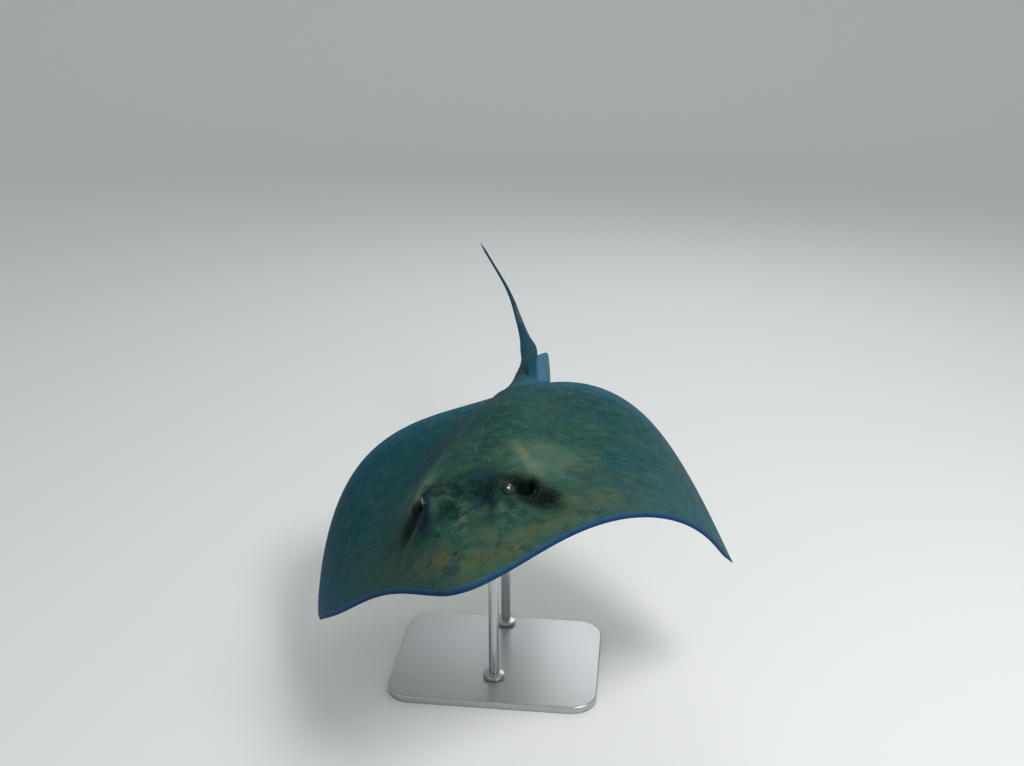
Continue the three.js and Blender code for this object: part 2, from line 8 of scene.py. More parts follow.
import logging
import math
from collections.abc import Callable, Sequence
from dataclasses import dataclass, field
from enum import Enum

import bmesh
import bpy
import numpy as np
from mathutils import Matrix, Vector
from mathutils.bvhtree import BVHTree


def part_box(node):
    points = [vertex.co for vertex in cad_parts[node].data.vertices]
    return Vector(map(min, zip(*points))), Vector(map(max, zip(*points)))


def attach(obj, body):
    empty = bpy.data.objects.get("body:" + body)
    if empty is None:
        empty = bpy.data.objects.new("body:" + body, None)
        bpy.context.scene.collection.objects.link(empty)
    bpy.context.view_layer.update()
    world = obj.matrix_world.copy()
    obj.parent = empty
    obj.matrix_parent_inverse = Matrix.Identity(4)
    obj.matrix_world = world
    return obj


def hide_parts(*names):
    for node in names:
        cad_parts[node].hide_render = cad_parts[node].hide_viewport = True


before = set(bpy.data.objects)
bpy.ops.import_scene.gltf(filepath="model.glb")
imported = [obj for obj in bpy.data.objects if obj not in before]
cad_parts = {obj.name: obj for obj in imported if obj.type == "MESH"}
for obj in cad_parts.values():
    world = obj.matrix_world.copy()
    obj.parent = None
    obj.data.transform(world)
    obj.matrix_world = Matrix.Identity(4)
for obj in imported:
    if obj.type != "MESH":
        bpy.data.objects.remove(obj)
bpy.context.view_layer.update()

log = logging.getLogger("stingray")
Array = np.ndarray
Colour = tuple[float, float, float]
Piece = bpy.types.Object
Mesh = bpy.types.Mesh
Material = bpy.types.Material
MM = 0.001
SIDES = {"left": 1, "right": -1}


# ------------------------------------------------------------------ small numeric helpers


def lerp(a: Array | float, b: Array | float, t: Array | float) -> Array | float:
    """The value a share t of the way from a to b."""
    return a + (b - a) * t


def smooth(t: Array | float) -> Array:
    """An ease from 0 to 1 as t goes from 0 to 1."""
    t = np.clip(t, 0.0, 1.0)
    return t * t * (3 - 2 * t)


def hump(x: Array, centre: float, width: float) -> Array:
    """A bell of height 1 about a centre."""
    return np.exp(-(((x - centre) / width) ** 2))


def soft_max(a: Array, b: Array, blend: Array | float) -> Array:
    """The larger of two heights, with a fillet where they are within a blend of each other."""
    share = np.clip(0.5 + 0.5 * (a - b) / blend, 0.0, 1.0)
    return lerp(b, a, share) + blend * share * (1 - share)


def graded(start: float, end: float, spacing: Callable[[Array], Array]) -> Array:
    """Stations between two places.

    Args:
        start: The first station.
        end: The last station.
        spacing: The wanted distance between stations at each place.

    Returns:
        The stations, both ends included.
    """
    fine = np.linspace(start, end, 6001)
    middles = 0.5 * (fine[1:] + fine[:-1])
    count = np.concatenate([[0.0], np.cumsum(np.diff(fine) / spacing(middles))])
    steps = max(1, math.ceil(count[-1]))
    return np.interp(np.linspace(0.0, count[-1], steps + 1), count, fine)


def unit(v: Sequence[float]) -> Array:
    """A vector at length 1."""
    return np.asarray(v, float) / np.linalg.norm(v)


# ------------------------------------------------------------------ the flat animal


@dataclass(frozen=True)
class Station:
    """The raised middle of the body at one place along it."""

    y: float
    half_width: float
    back: float
    belly: float


BODY_STATIONS = (
    Station(-0.355, 0.060, 0.003, 0.002),
    Station(-0.270, 0.080, 0.013, 0.007),
    Station(-0.165, 0.096, 0.034, 0.018),
    Station(-0.115, 0.104, 0.046, 0.028),
    Station(-0.040, 0.112, 0.055, 0.035),
    Station(0.100, 0.092, 0.050, 0.034),
    Station(0.270, 0.052, 0.028, 0.020),
    Station(0.390, 0.030, 0.020, 0.016),
)


@dataclass(frozen=True)
class Disc:
    """The flat disc's outline and thickness, which are those of the solids underneath."""

    half_span: float = 0.450
    snout_y: float = -0.343
    wing_tip_y: float = 0.019
    rear_y: float = 0.373
    snout_rounding: float = 0.11
    hollow_whole: float = 0.018
    hollow_halves: float = 0.031
    hollow_start: float = 0.07
    tip_rounding: float = 60
    rear_span_power: float = 1.5
    rear_reach_power: float = 0.766
    rim: float = 0.0008
    rim_run: float = 0.0016
    wing_top: float = 0.017
    wing_belly: float = 0.012
    wing_run: float = 0.075
    dome_run: float = 0.045
    dome_run_power: float = 1.5
    dome_squareness: float = 2.6
    snout_rise: float = 0.007
    snout_rise_from: float = -0.220
    snout_rise_half_width: float = 0.052
    lip_drop: float = 0.0035
    lip_run: float = 0.012
    lip_full_chord: float = 0.12
    head_lean: float = 0.25
    head_lean_y: float = -0.158
    head_lean_run: float = 0.090

    def front(self, x: Array) -> Array:
        """y of the front margin at x.

        Args:
            x: Places across the body.

        Returns:
            The margin's place along the body.
        """
        span = np.minimum(np.abs(x) / self.half_span, 1.0)
        r = self.snout_rounding
        run = (np.hypot(span, r) - r) / (math.hypot(1, r) - r)
        waves = self.hollow_whole * np.sin(np.pi * span) + self.hollow_halves * np.sin(2 * np.pi * span)
        waves *= 1 - np.exp(-((span / self.hollow_start) ** 2))
        reach = (1 - run - waves) * (1 - span**self.tip_rounding)
        return lerp(self.wing_tip_y, self.snout_y, reach)

    def rear(self, x: Array) -> Array:
        """y of the rear margin at x.

        Args:
            x: Places across the body.

        Returns:
            The margin's place along the body.
        """
        span = np.minimum(np.abs(x) / self.half_span, 1.0)
        reach = np.maximum(1 - span**self.rear_span_power, 0.0) ** self.rear_reach_power
        return lerp(self.wing_tip_y, self.rear_y, reach)

    def along(self, y: Array, name: str) -> Array:
        """One value of the body stations, run smoothly from station to station.

        Args:
            y: Places along the body.
            name: The value's name in a station.

        Returns:
            The value at each place.
        """
        places, values = (np.array([getattr(s, key) for s in BODY_STATIONS]) for key in ("y", name))
        i = np.clip(np.searchsorted(places, y) - 1, 0, len(places) - 2)
        return lerp(values[i], values[i + 1], smooth((y - places[i]) / (places[i + 1] - places[i])))

    def lead(self, x: Array, y: Array) -> Array:
        """How far a point lies behind the front margin."""
        return np.maximum(y - self.front(x), 0.0)

    def trail(self, x: Array, y: Array) -> Array:
        """How far a point lies ahead of the rear margin."""
        return np.maximum(self.rear(x) - y, 0.0)

    def inset(self, x: Array, y: Array) -> Array:
        """How far in from both margins a point lies."""
        lead, trail = self.lead(x, y), self.trail(x, y)
        return lead * trail / np.maximum(lead + trail, MM)

    def dome(self, x: Array, y: Array) -> Array:
        """The dome of the trunk, from 1 on the midline to 0 at the margins."""
        across = np.exp(-((np.abs(x) / self.along(y, "half_width")) ** self.dome_squareness))
        return across * (1 - np.exp(-((self.inset(x, y) / self.dome_run) ** self.dome_run_power)))

    def middle(self, x: Array, y: Array) -> Array:
        """Height of the sheet's middle: the snout turns up a little and the front rim turns down.

        Args:
            x: Places across the body.
            y: Places along the body.

        Returns:
            The heights.
        """
        forward = smooth((self.snout_rise_from - y) / (self.snout_rise_from - self.snout_y))
        rise = self.snout_rise * forward * hump(x, 0.0, self.snout_rise_half_width)
        fade = smooth((self.rear(x) - self.front(x)) / self.lip_full_chord)
        lip = np.maximum(1 - self.lead(x, y) / self.lip_run, 0.0) ** 2
        return rise - self.lip_drop * fade * lip

    def sheet(self, x: Array, y: Array, wing: float) -> Array:
        """Thickness on one side of the sheet's middle, round at the rim, without the dome.

        Args:
            x: Places across the body.
            y: Places along the body.
            wing: Thickness of the wing there, well away from its margins.

        Returns:
            The thickness.
        """
        inset = self.inset(x, y)
        share = np.clip(inset / self.rim_run, 0.0, 1.0)
        rim = self.rim * np.sqrt(1 - (1 - share) ** 2)
        return rim + wing * (1 - np.exp(-inset / self.wing_run))

    def back(self, x: Array, y: Array) -> Array:
        """Height of the bare back above the sheet's middle, without the eyes' knobs."""
        lean = self.head_lean * x * hump(y, self.head_lean_y, self.head_lean_run)
        return self.sheet(x, y, self.wing_top) + (self.along(y, "back") - lean) * self.dome(x, y)

    def belly(self, x: Array, y: Array) -> Array:
        """Depth of the belly below the sheet's middle."""
        return self.sheet(x, y, self.wing_belly) + self.along(y, "belly") * self.dome(x, y)


@dataclass(frozen=True)
class Tail:
    """The whip tail: its thickness, the ridge on top and the fold of skin below."""

    start_y: float = 0.300
    tip_y: float = 1.362
    root_half_width: float = 0.031
    root_half_height: float = 0.021
    tip_radius: float = 0.0029
    width_taper: float = 3.4
    height_taper: float = 3.2
    shoulder_y: float = 0.580
    shoulder_run: float = 0.048
    shoulder: float = 0.004
    point_run: float = 0.072
    point_share: float = 0.65
    fold_start: float = 0.760
    fold_end: float = 1.140
    fold_depth: float = 0.013
    fold_skew: float = 1.4
    fold_fullness: float = 0.6
    sheath_from: float = 0.675
    sheath_to: float = 0.730
    sheath: float = 0.0038
    keel_start: float = 0.850
    keel_height: float = 0.0015
    opening: float = 0.030
    flare_run: float = 0.014

    def taper(self, y: Array, root: float, power: float) -> Array:
        """A half thickness that falls from the root to the tip.

        Args:
            y: Places along the body.
            root: The half thickness at the tail's root.
            power: How soon it falls: the higher, the nearer to the root.

        Returns:
            The half thickness at each place.
        """
        left = 1 - np.clip((y - self.start_y) / (self.tip_y - self.start_y), 0.0, 1.0)
        point = 1 - self.point_share * smooth((y - self.tip_y + self.point_run) / self.point_run)
        return (self.tip_radius + (root - self.tip_radius) * left**power) * point

    def half_width(self, y: Array) -> Array:
        """Half the tail's width at y, with the ridges along its base."""
        ridges = self.shoulder * hump(y, self.shoulder_y, self.shoulder_run)
        return self.taper(y, self.root_half_width, self.width_taper) + ridges

    def half_height(self, y: Array) -> Array:
        """Half the tail's height at y."""
        return self.taper(y, self.root_half_height, self.height_taper)

    def flared(self, y: Array, rear_y: float) -> Array:
        """Half the tail's width where it widens into its opening in the disc's rear margin."""
        flare = self.opening - self.half_width(rear_y)
        return self.half_width(y) + flare * np.exp(-np.abs(y - rear_y) / self.flare_run)

    def fold(self, y: Array) -> Array:
        """How far the fold hangs below the tail at y."""
        t = np.clip((self.fold_end - y) / (self.fold_end - self.fold_start), 0.0, 1.0)
        return self.fold_depth * np.sin(np.pi * t**self.fold_skew) ** self.fold_fullness

    def keel(self, y: Array) -> Array:
        """How far the low ridge stands above the tail at y."""
        return self.keel_height * smooth((y - self.keel_start) / 0.05) * smooth((self.fold_end - y) / 0.15)

    def cover(self, y: Array) -> Array:
        """How far the skin stands up over the root of the sting at y."""
        return self.sheath * smooth((y - self.sheath_from) / 0.036) * smooth((self.sheath_to - y) / 0.010)


# ------------------------------------------------------------------ the pose


@dataclass(frozen=True)
class WingBend:
    """How far a wing droops at five controls from root to tip, along its front and rear edge."""

    front: tuple[float, ...]
    rear: tuple[float, ...]

    @staticmethod
    def curve(controls: tuple[float, ...], t: Array) -> Array:
        """A Bernstein curve through the controls that starts at 0."""
        n = len(controls)
        return sum(c * math.comb(n, k) * t**k * (1 - t) ** (n - k) for k, c in enumerate(controls, 1))

    def droop(self, span: Array, front_share: Array) -> Array:
        """The droop in radians at a share of the span, between the rear and the front edge."""
        return np.radians(lerp(self.curve(self.rear, span), self.curve(self.front, span), front_share))


@dataclass(frozen=True)
class TailBend:
    """A length of the tail over which it turns to the animal's right and rises."""

    start: float
    end: float
    turn: float
    rise: float

    def share(self, y: Array) -> Array:
        """How much of the bend lies before y."""
        return smooth((y - self.start) / (self.end - self.start))


@dataclass(frozen=True)
class Pose:
    """Takes points of the flat animal to their places in the finished model."""

    half_span: float = Disc.half_span
    left: WingBend = WingBend((2, 1, 46, 89, 70), (5, 24, 82, 105, 75))
    right: WingBend = WingBend((3, 38, 57, 52, 32), (-10, -27, -11, 44, 103))
    bend_front_y: float = -0.338
    bend_rear_y: float = 0.382
    tail_start: float = 0.385
    tail_bends: tuple[TailBend, ...] = (TailBend(0.460, 0.620, 11.1, 5.8), TailBend(0.800, 1.100, 4.6, 1.6))
    roll: float = 20.8
    pitch: float = 1.3
    centre: tuple[float, float, float] = (0.0, -0.010, 0.340)
    steps: int = 40

    def __call__(self, points: Array) -> Array:
        """Poses an N x 3 array of flat points."""
        return self._attitude(self._bend_tail(self._bend_wings(np.asarray(points, float))))

    def _bend_wings(self, p: Array) -> Array:
        """Droops both wings about the midline, keeping their length.

        Args:
            p: N x 3 points.

        Returns:
            The points with the wings bent.
        """
        x, y, z = p.T
        front_share = smooth((self.bend_rear_y - y) / (self.bend_rear_y - self.bend_front_y))
        span = np.abs(x) / self.half_span

        def droop(at: Array) -> Array:
            """The droop in radians at a share of the span, of the wing on the point's side."""
            return np.where(x < 0, self.right.droop(at, front_share), self.left.droop(at, front_share))

        out, down = np.zeros_like(x), np.zeros_like(x)
        step = span / self.steps
        for i in range(self.steps):
            angle = droop((i + 0.5) * step)
            out += np.cos(angle) * step * self.half_span
            down += np.sin(angle) * step * self.half_span
        angle = droop(span)
        out += z * np.sin(angle)
        return np.stack([np.where(x < 0, -out, out), y, z * np.cos(angle) - down], 1)

    def _heading(self, along: Array) -> Array:
        """The tail's direction.

        Args:
            along: Distances behind the tail's start.

        Returns:
            A vector of length 1 for each.
        """
        y = self.tail_start + along
        turn = np.radians(sum(bend.turn * bend.share(y) for bend in self.tail_bends))
        rise = np.radians(sum(bend.rise * bend.share(y) for bend in self.tail_bends))
        return np.stack([-np.sin(turn) * np.cos(rise), np.cos(turn) * np.cos(rise), np.sin(rise)], 1)

    def _bend_tail(self, p: Array) -> Array:
        """Swings what lies behind the tail's start to the animal's right and up.

        Args:
            p: N x 3 points.

        Returns:
            The points with the tail bent.
        """
        behind = p[:, 1] > self.tail_start
        q = p[behind]
        along = q[:, 1] - self.tail_start
        centre = np.zeros_like(q)
        centre[:, 1] = self.tail_start
        step = along / self.steps
        for i in range(self.steps):
            centre += self._heading((i + 0.5) * step) * step[:, None]
        forward = self._heading(along)
        side = np.stack([forward[:, 1], -forward[:, 0], np.zeros_like(along)], 1)
        side /= np.linalg.norm(side, axis=1, keepdims=True)
        out = p.copy()
        out[behind] = centre + side * q[:, :1] + np.cross(side, forward) * q[:, 2:]
        return out

    def _attitude(self, p: Array) -> Array:
        """Banks, pitches and lifts the body.

        Args:
            p: N x 3 points.

        Returns:
            The points in their final places.
        """
        x, y, z = p.T
        roll, pitch = math.radians(self.roll), math.radians(self.pitch)
        x, z = math.cos(roll) * x - math.sin(roll) * z, math.sin(roll) * x + math.cos(roll) * z
        y, z = math.cos(pitch) * y - math.sin(pitch) * z, math.sin(pitch) * y + math.cos(pitch) * z
        return np.stack([x, y, z], 1) + np.array(self.centre)


# ------------------------------------------------------------------ features of the head and belly


@dataclass(frozen=True)
class Patch:
    """An ellipse on the flat animal, turned about z, mirrored to both sides."""

    x: float
    y: float
    half_width: float
    half_length: float
    turn: float = 0.0

    def radius(self, x: Array, y: Array) -> Array:
        """Distance from the centre, 1 on the ellipse.

        Args:
            x: Places across the body.
            y: Places along the body.

        Returns:
            The distances.
        """
        angle = math.radians(self.turn)
        dx, dy = np.abs(x) - self.x, y - self.y
        across = dx * math.cos(angle) + dy * math.sin(angle)
        along = dy * math.cos(angle) - dx * math.sin(angle)
        return np.hypot(across / self.half_width, along / self.half_length)


@dataclass(frozen=True)
class EyeSocket:
    """The knob, the lids and the opening round each eye."""

    disc: Disc
    x: float = 0.049
    y: float = -0.160
    radius: float = 0.014
    sink: float = 0.79
    knob_height: float = 0.0185
    knob_inset: float = 0.004
    knob_half_width: float = 0.021
    knob_half_length: float = 0.028
    gaze_up: float = 30.0
    gaze_forward: float = 20.0
    opening_along: float = 40.0
    opening_across: float = 21.0
    lid: float = 0.0012
    lid_edge: float = 0.0009
    lid_fillet: float = 0.0022
    inside: float = 0.0028
    reach: float = 0.011
    far_behind: float = 9.0

    def knob(self, x: Array, y: Array) -> Array:
        """Height of the knob that carries the eye."""
        across = hump(np.abs(x), self.x - self.knob_inset, self.knob_half_width)
        return self.knob_height * across * hump(y, self.y, self.knob_half_length)

    def centre(self, side: int) -> Array:
        """The middle of one eyeball.

        Args:
            side: 1 for the left eye, -1 for the right.

        Returns:
            A flat point.
        """
        at = np.array([side * (self.x - self.knob_inset)]), np.array([self.y])
        top = float((self.disc.back(*at) + self.disc.middle(*at) + self.knob(*at))[0])
        return np.array([side * self.x, self.y, top - self.radius * self.sink])

    def axes(self, side: int) -> tuple[Array, Array, Array]:
        """The eye's gaze, the long way of its opening towards the tail, and the way up across it.

        Args:
            side: 1 for the left eye, -1 for the right.

        Returns:
            Three vectors of length 1.
        """
        up, ahead = math.radians(self.gaze_up), math.radians(self.gaze_forward)
        level = math.cos(up)
        gaze = np.array([side * level * math.cos(ahead), -level * math.sin(ahead), math.sin(up)])
        long = unit(np.cross(gaze, [0, 0, 1])) * -side
        return gaze, long, unit(np.cross(long, gaze)) * -side

    def opening(self, offset: Array, side: int) -> Array:
        """Distance from the gaze in the eye's opening, 1 at the lids' edge and large behind.

        Args:
            offset: N x 3 vectors from the eyeball's middle.
            side: 1 for the left eye, -1 for the right.

        Returns:
            The distances.
        """
        length = np.maximum(np.linalg.norm(offset, axis=1), 1e-6)
        ahead, along, across = (np.clip(offset @ axis / length, -1, 1) for axis in self.axes(side))
        turn_along, turn_across = np.degrees(np.arcsin(along)), np.degrees(np.arcsin(across))
        e = np.hypot(turn_along / self.opening_along, turn_across / self.opening_across)
        return np.where(ahead > 0.2, e, self.far_behind)

    def wrap(self, points: Array) -> Array:
        """Draws the skin over both eyeballs and opens the lids.

        Args:
            points: N x 3 points of the bare back.

        Returns:
            The points with both eyes' lids.
        """
        out = points.copy()
        for side in SIDES.values():
            centre = self.centre(side)
            offset = out - centre
            distance = np.linalg.norm(offset, axis=1)
            near = (distance < self.radius + self.reach) & (out[:, 2] > centre[2] - 0.6 * self.radius)
            offset, distance = offset[near], np.maximum(distance[near], MM)
            e = self.opening(offset, side)
            cover = self.radius + self.lid + self.lid_edge * hump(e, 1.2, 0.16)
            lidded = soft_max(distance, cover, self.lid_fillet)
            reach = lerp(self.radius - self.inside, lidded, smooth((e - 0.92) / 0.16))
            out[near] = centre + offset / distance[:, None] * reach[:, None]
        return out


@dataclass(frozen=True)
class Spiracle(Patch):
    """The breathing hole beside and behind each eye, with a raised rim round its outer end."""

    x: float = 0.070
    y: float = -0.132
    half_width: float = 0.0135
    half_length: float = 0.027
    turn: float = -18.0
    depth: float = 0.019
    rim: float = 0.0045

    def pit(self, x: Array, y: Array) -> Array:
        """Depth of the hole."""
        return self.depth * (1 - smooth((self.radius(x, y) - 0.42) / 0.55))

    def edge(self, x: Array, y: Array) -> Array:
        """Height of the rim, which is highest behind and outside."""
        outside = smooth((np.abs(x) - self.x + 0.6 * (y - self.y)) / 0.024)
        return self.rim * outside * hump(self.radius(x, y), 1.35, 0.33)


@dataclass(frozen=True)
class Underside:
    """Mouth, nostrils, gill slits and vent."""

    mouth_y: float = -0.162
    mouth_half_width: float = 0.038
    mouth_bow: float = 0.009
    mouth_half_gap: float = 0.0026
    mouth_depth: float = 0.006
    lip: float = 0.0016
    curtain: float = 0.0025
    nostril: Patch = Patch(0.034, -0.192, 0.008, 0.0055, -35.0)
    nostril_depth: float = 0.005
    slits: int = 5
    first_slit: tuple[float, float] = (0.084, -0.066)
    last_slit: tuple[float, float] = (0.057, 0.030)
    slit_half_length: float = 0.014
    slit_half_width: float = 0.0018
    slit_slant: float = 14.0
    slit_depth: float = 0.0042
    slit_bulge: float = 0.0012
    vent: Patch = Patch(0.0, 0.306, 0.005, 0.017)
    vent_depth: float = 0.006

    def slit_patches(self) -> list[Patch]:
        """The gill slits of one side, from front to rear.

        Returns:
            One patch for each slit.
        """
        ends = list(zip(self.first_slit, self.last_slit))
        size = self.slit_half_length, self.slit_half_width, self.slit_slant
        shares = [i / (self.slits - 1) for i in range(self.slits)]
        return [Patch(*(lerp(a, b, t) for a, b in ends), *size) for t in shares]

    def mouth_line(self, x: Array) -> Array:
        """y of the line between the lips."""
        return self.mouth_y + self.mouth_bow * ((x / self.mouth_half_width) ** 2 - 0.5)

    def mouth_radius(self, x: Array, y: Array) -> Array:
        """Distance from the line between the lips, 1 at the edge of the gap.

        Args:
            x: Places across the body.
            y: Places along the body.

        Returns:
            The distances.
        """
        share = np.clip(np.abs(x) / self.mouth_half_width, 0.0, 1.0)
        gap = 0.0004 + self.mouth_half_gap * np.sqrt(1 - share**2)
        beyond = np.maximum(np.abs(x) - self.mouth_half_width, 0.0) / 0.002
        return np.hypot((y - self.mouth_line(x)) / gap, beyond)

    def hollows(self, x: Array, y: Array) -> Array:
        """How deep the openings go into the belly.

        Args:
            x: Places across the body.
            y: Places along the body.

        Returns:
            The depths.
        """
        depth = self.mouth_depth * (1 - smooth(self.mouth_radius(x, y) - 0.35))
        depth = depth + self.nostril_depth * (1 - smooth(self.nostril.radius(x, y) / 1.1 - 0.2))
        for slit in self.slit_patches():
            depth = depth + self.slit_depth * (1 - smooth(slit.radius(x, y) / 1.4 - 0.2))
        return depth + self.vent_depth * (1 - smooth(self.vent.radius(x, y) / 1.2 - 0.1))

    def swellings(self, x: Array, y: Array) -> Array:
        """How far lips, nasal curtain and gill covers stand out from the belly.

        Args:
            x: Places across the body.
            y: Places along the body.

        Returns:
            The heights.
        """
        line = self.mouth_line(x)
        inside = smooth((self.mouth_half_width + 0.008 - np.abs(x)) / 0.012)
        lips = self.lip * inside * hump(np.abs(y - line), 0.0065, 0.0045)
        flap = smooth((0.030 - np.abs(x)) / 0.006) * smooth((line - 0.003 - y) / 0.003)
        curtain = self.curtain * flap * smooth((y + 0.200) / 0.012)
        covers = np.zeros_like(x)
        for slit in self.slit_patches():
            ahead = Patch(slit.x, slit.y - 0.006, slit.half_width * 1.1, 0.007, slit.turn)
            covers = covers + self.slit_bulge * np.exp(-(ahead.radius(x, y) ** 2))
        return lips + curtain + covers


@dataclass(frozen=True)
class BodyForm:
    """The whole flat surface: disc and tail, with the features of the head, back and belly."""

    disc: Disc = Disc()
    tail: Tail = Tail()
    socket: EyeSocket = EyeSocket(Disc())
    spiracle: Spiracle = Spiracle()
    underside: Underside = Underside()
    fillet: float = 0.010
    fin_rays: float = 34
    ray_height: float = 0.00010

    def _with_tail(self, height: Array, x: Array, y: Array) -> Array:
        """Joins the root of the tail to a height of the disc with a fillet.

        Args:
            height: Height of the disc.
            x: Places across the body.
            y: Places along the body.

        Returns:
            The height of both.
        """
        behind = smooth((y - self.tail.start_y + 0.03) / 0.05)
        width = self.tail.flared(y, self.disc.rear_y)
        root = self.tail.half_height(y) * np.sqrt(np.maximum(1 - (x / width) ** 2, 0.0)) * behind
        blend = 1e-5 + self.fillet * behind * np.clip(self.disc.trail(x, y) / 0.03, 0.0, 1.0)
        return np.where(behind > 0, soft_max(height, root, blend), height)

    def back_relief(self, x: Array, y: Array) -> Array:
        """Swellings and hollows of the back that the plain dome lacks.

        Args:
            x: Places across the body.
            y: Places along the body.

        Returns:
            The heights, below 0 in a hollow.
        """
        across, eye_y = np.abs(x), self.socket.y
        length = smooth((y + 0.09) / 0.06) * smooth((0.16 - y) / 0.12)
        gills = 0.0040 * hump(across, 0.058, 0.026) * length
        gills += 0.0075 * hump(across, 0.088, 0.026) * hump(y, -0.068, 0.034)
        furrow = -0.0025 * hump(x, 0.0, 0.012) * smooth((y + 0.06) / 0.05) * smooth((0.20 - y) / 0.1)
        crown = -0.0085 * hump(x, 0.0, 0.024) * hump(y, eye_y - 0.004, 0.040)
        brow = 0.0042 * hump(across, 0.047 + 0.25 * (y + 0.20), 0.011) * hump(y, -0.205, 0.026)
        temple = -0.0060 * hump(across + 0.5 * (y - eye_y), 0.090, 0.020) * hump(y, eye_y - 0.004, 0.034)
        rostrum = 0.0022 * hump(x, 0.0, 0.010) * smooth((-0.185 - y) / 0.02) * smooth((y + 0.32) / 0.06)
        nape = 0.0030 * hump(x, 0.0, 0.030) * hump(y, -0.085, 0.030)
        waist = 0.0020 * hump(across, 0.030, 0.020) * hump(y, 0.225, 0.08)
        return gills + furrow + crown + brow + temple + rostrum + nape + waist

    def wing_relief(self, x: Array, y: Array) -> Array:
        """Fine ridges over the wings' fin rays, which fan out from the body.

        Args:
            x: Places across the body.
            y: Places along the body.

        Returns:
            The heights, below 0 between two ridges.
        """
        chord = self.disc.lead(x, y) / np.maximum(self.disc.rear(x) - self.disc.front(x), MM)
        outside = smooth((np.abs(x) - 0.10) / 0.06) * smooth(self.disc.inset(x, y) / 0.03)
        return self.ray_height * np.sin(2 * np.pi * self.fin_rays * chord + 3 * np.sin(9 * chord)) * outside

    def top(self, x: Array, y: Array) -> Array:
        """Height of the back.

        Args:
            x: Places across the body.
            y: Places along the body.

        Returns:
            The heights above the disc's middle surface.
        """
        height = self.disc.back(x, y) + self.socket.knob(x, y) + self.back_relief(x, y)
        height = self._with_tail(height + self.wing_relief(x, y), x, y)
        return height + self.spiracle.edge(x, y) - self.spiracle.pit(x, y)

    def bottom(self, x: Array, y: Array) -> Array:
        """Depth of the belly."""
        depth = self._with_tail(self.disc.belly(x, y) + 0.5 * self.wing_relief(x, y), x, y)
        return depth + self.underside.swellings(x, y) - self.underside.hollows(x, y)

    def surface(self, x: Array, y: Array, sheet: Array) -> Array:
        """Points of the disc's surface.

        Args:
            x: Places across the body.
            y: Places along the body.
            sheet: 1 on the back, -1 on the belly and 0 on the margin.

        Returns:
            An N x 3 array of flat points, with the lids drawn over the eyes.
        """
        z = self.disc.middle(x, y) + np.where(sheet > 0, self.top(x, y), -self.bottom(x, y)) * np.abs(sheet)
        points = np.stack([x, y, z], 1)
        above = sheet > 0.5
        points[above] = self.socket.wrap(points[above])
        return points


# ------------------------------------------------------------------ meshes


def new_object(name: str, data: bpy.types.ID) -> Piece:
    """Puts a mesh, a camera or a lamp into the scene as an object at the origin.

    Args:
        name: The object's name.
        data: Its mesh, camera or lamp.

    Returns:
        The object.
    """
    piece = bpy.data.objects.new(name, data)
    bpy.context.scene.collection.objects.link(piece)
    return piece


def soften(mesh: Mesh) -> None:
    """Shades all faces of a mesh smooth."""
    mesh.polygons.foreach_set("use_smooth", [True] * len(mesh.polygons))


def mesh_from(name: str, points: Array, faces: Sequence[Sequence[int]], turn: bool = False) -> Mesh:
    """A smooth-shaded mesh.

    Args:
        name: The mesh's name.
        points: Its corners.
        faces: The numbers of each face's corners.
        turn: Whether the faces still have to be turned outward.

    Returns:
        The mesh.
    """
    mesh = bpy.data.meshes.new(name)
    mesh.from_pydata([tuple(p) for p in points], [], [tuple(f) for f in faces])
    if turn:
        bm = bmesh.new()
        bm.from_mesh(mesh)
        bmesh.ops.recalc_face_normals(bm, faces=bm.faces)
        bm.to_mesh(mesh)
        bm.free()
    soften(mesh)
    mesh.update()
    return mesh


def vectors(items: bpy.types.bpy_prop_collection, key: str) -> Array:
    """One vector of each item of a mesh.

    Args:
        items: The mesh's corners, or the values of one of its attributes.
        key: The vector's name on an item.

    Returns:
        An N x 3 array.
    """
    flat = np.empty(len(items) * 3)
    items.foreach_get(key, flat)
    return flat.reshape(-1, 3)


def store(mesh: Mesh, name: str, values: Array) -> None:
    """Stores a number or a vector for each corner as a named attribute.

    Args:
        mesh: The mesh.
        name: The attribute's name.
        values: A number for each corner, or an N x 3 array of vectors.
    """
    kind, key = ("FLOAT", "value") if values.ndim == 1 else ("FLOAT_VECTOR", "vector")
    attribute = mesh.attributes.new(name, kind, "POINT")
    attribute.data.foreach_set(key, np.ascontiguousarray(values, np.float32).ravel())


def settle(piece: Piece) -> None:
    """Replaces a piece's mesh by its evaluated one, shaded smooth, and removes the modifiers.

    Args:
        piece: The piece, whose modifiers are live.
    """
    graph = bpy.context.evaluated_depsgraph_get()
    mesh = bpy.data.meshes.new_from_object(piece.evaluated_get(graph), depsgraph=graph)
    piece.modifiers.clear()
    piece.data = mesh
    soften(mesh)


def grid_faces(grid: Array, flip: bool = False) -> Array:
    """The corners of the four-cornered faces of a grid of corner numbers, turned over if asked."""
    faces = np.stack([grid[:-1, :-1], grid[1:, :-1], grid[1:, 1:], grid[:-1, 1:]], 2).reshape(-1, 4)
    return faces[:, ::-1] if flip else faces


def wall(rings: int, sides: int) -> list[tuple[int, ...]]:
    """The faces between rings of corners that are numbered ring by ring."""
    starts = [(i * sides + k, i * sides + (k + 1) % sides) for i in range(rings - 1) for k in range(sides)]
    return [(a, b, b + sides, a + sides) for a, b in starts]


def ring_tube(rings: Array) -> tuple[Array, list[tuple[int, ...]]]:
    """A closed tube through rings of points.

    Args:
        rings: R x S x 3 points, each ring counter-clockwise seen from the last ring.

    Returns:
        The points and the faces, closed by a face at each end.
    """
    count, sides = rings.shape[:2]
    first, last = tuple(range(sides))[::-1], tuple((count - 1) * sides + k for k in range(sides))
    return rings.reshape(-1, 3), [*wall(count, sides), first, last]


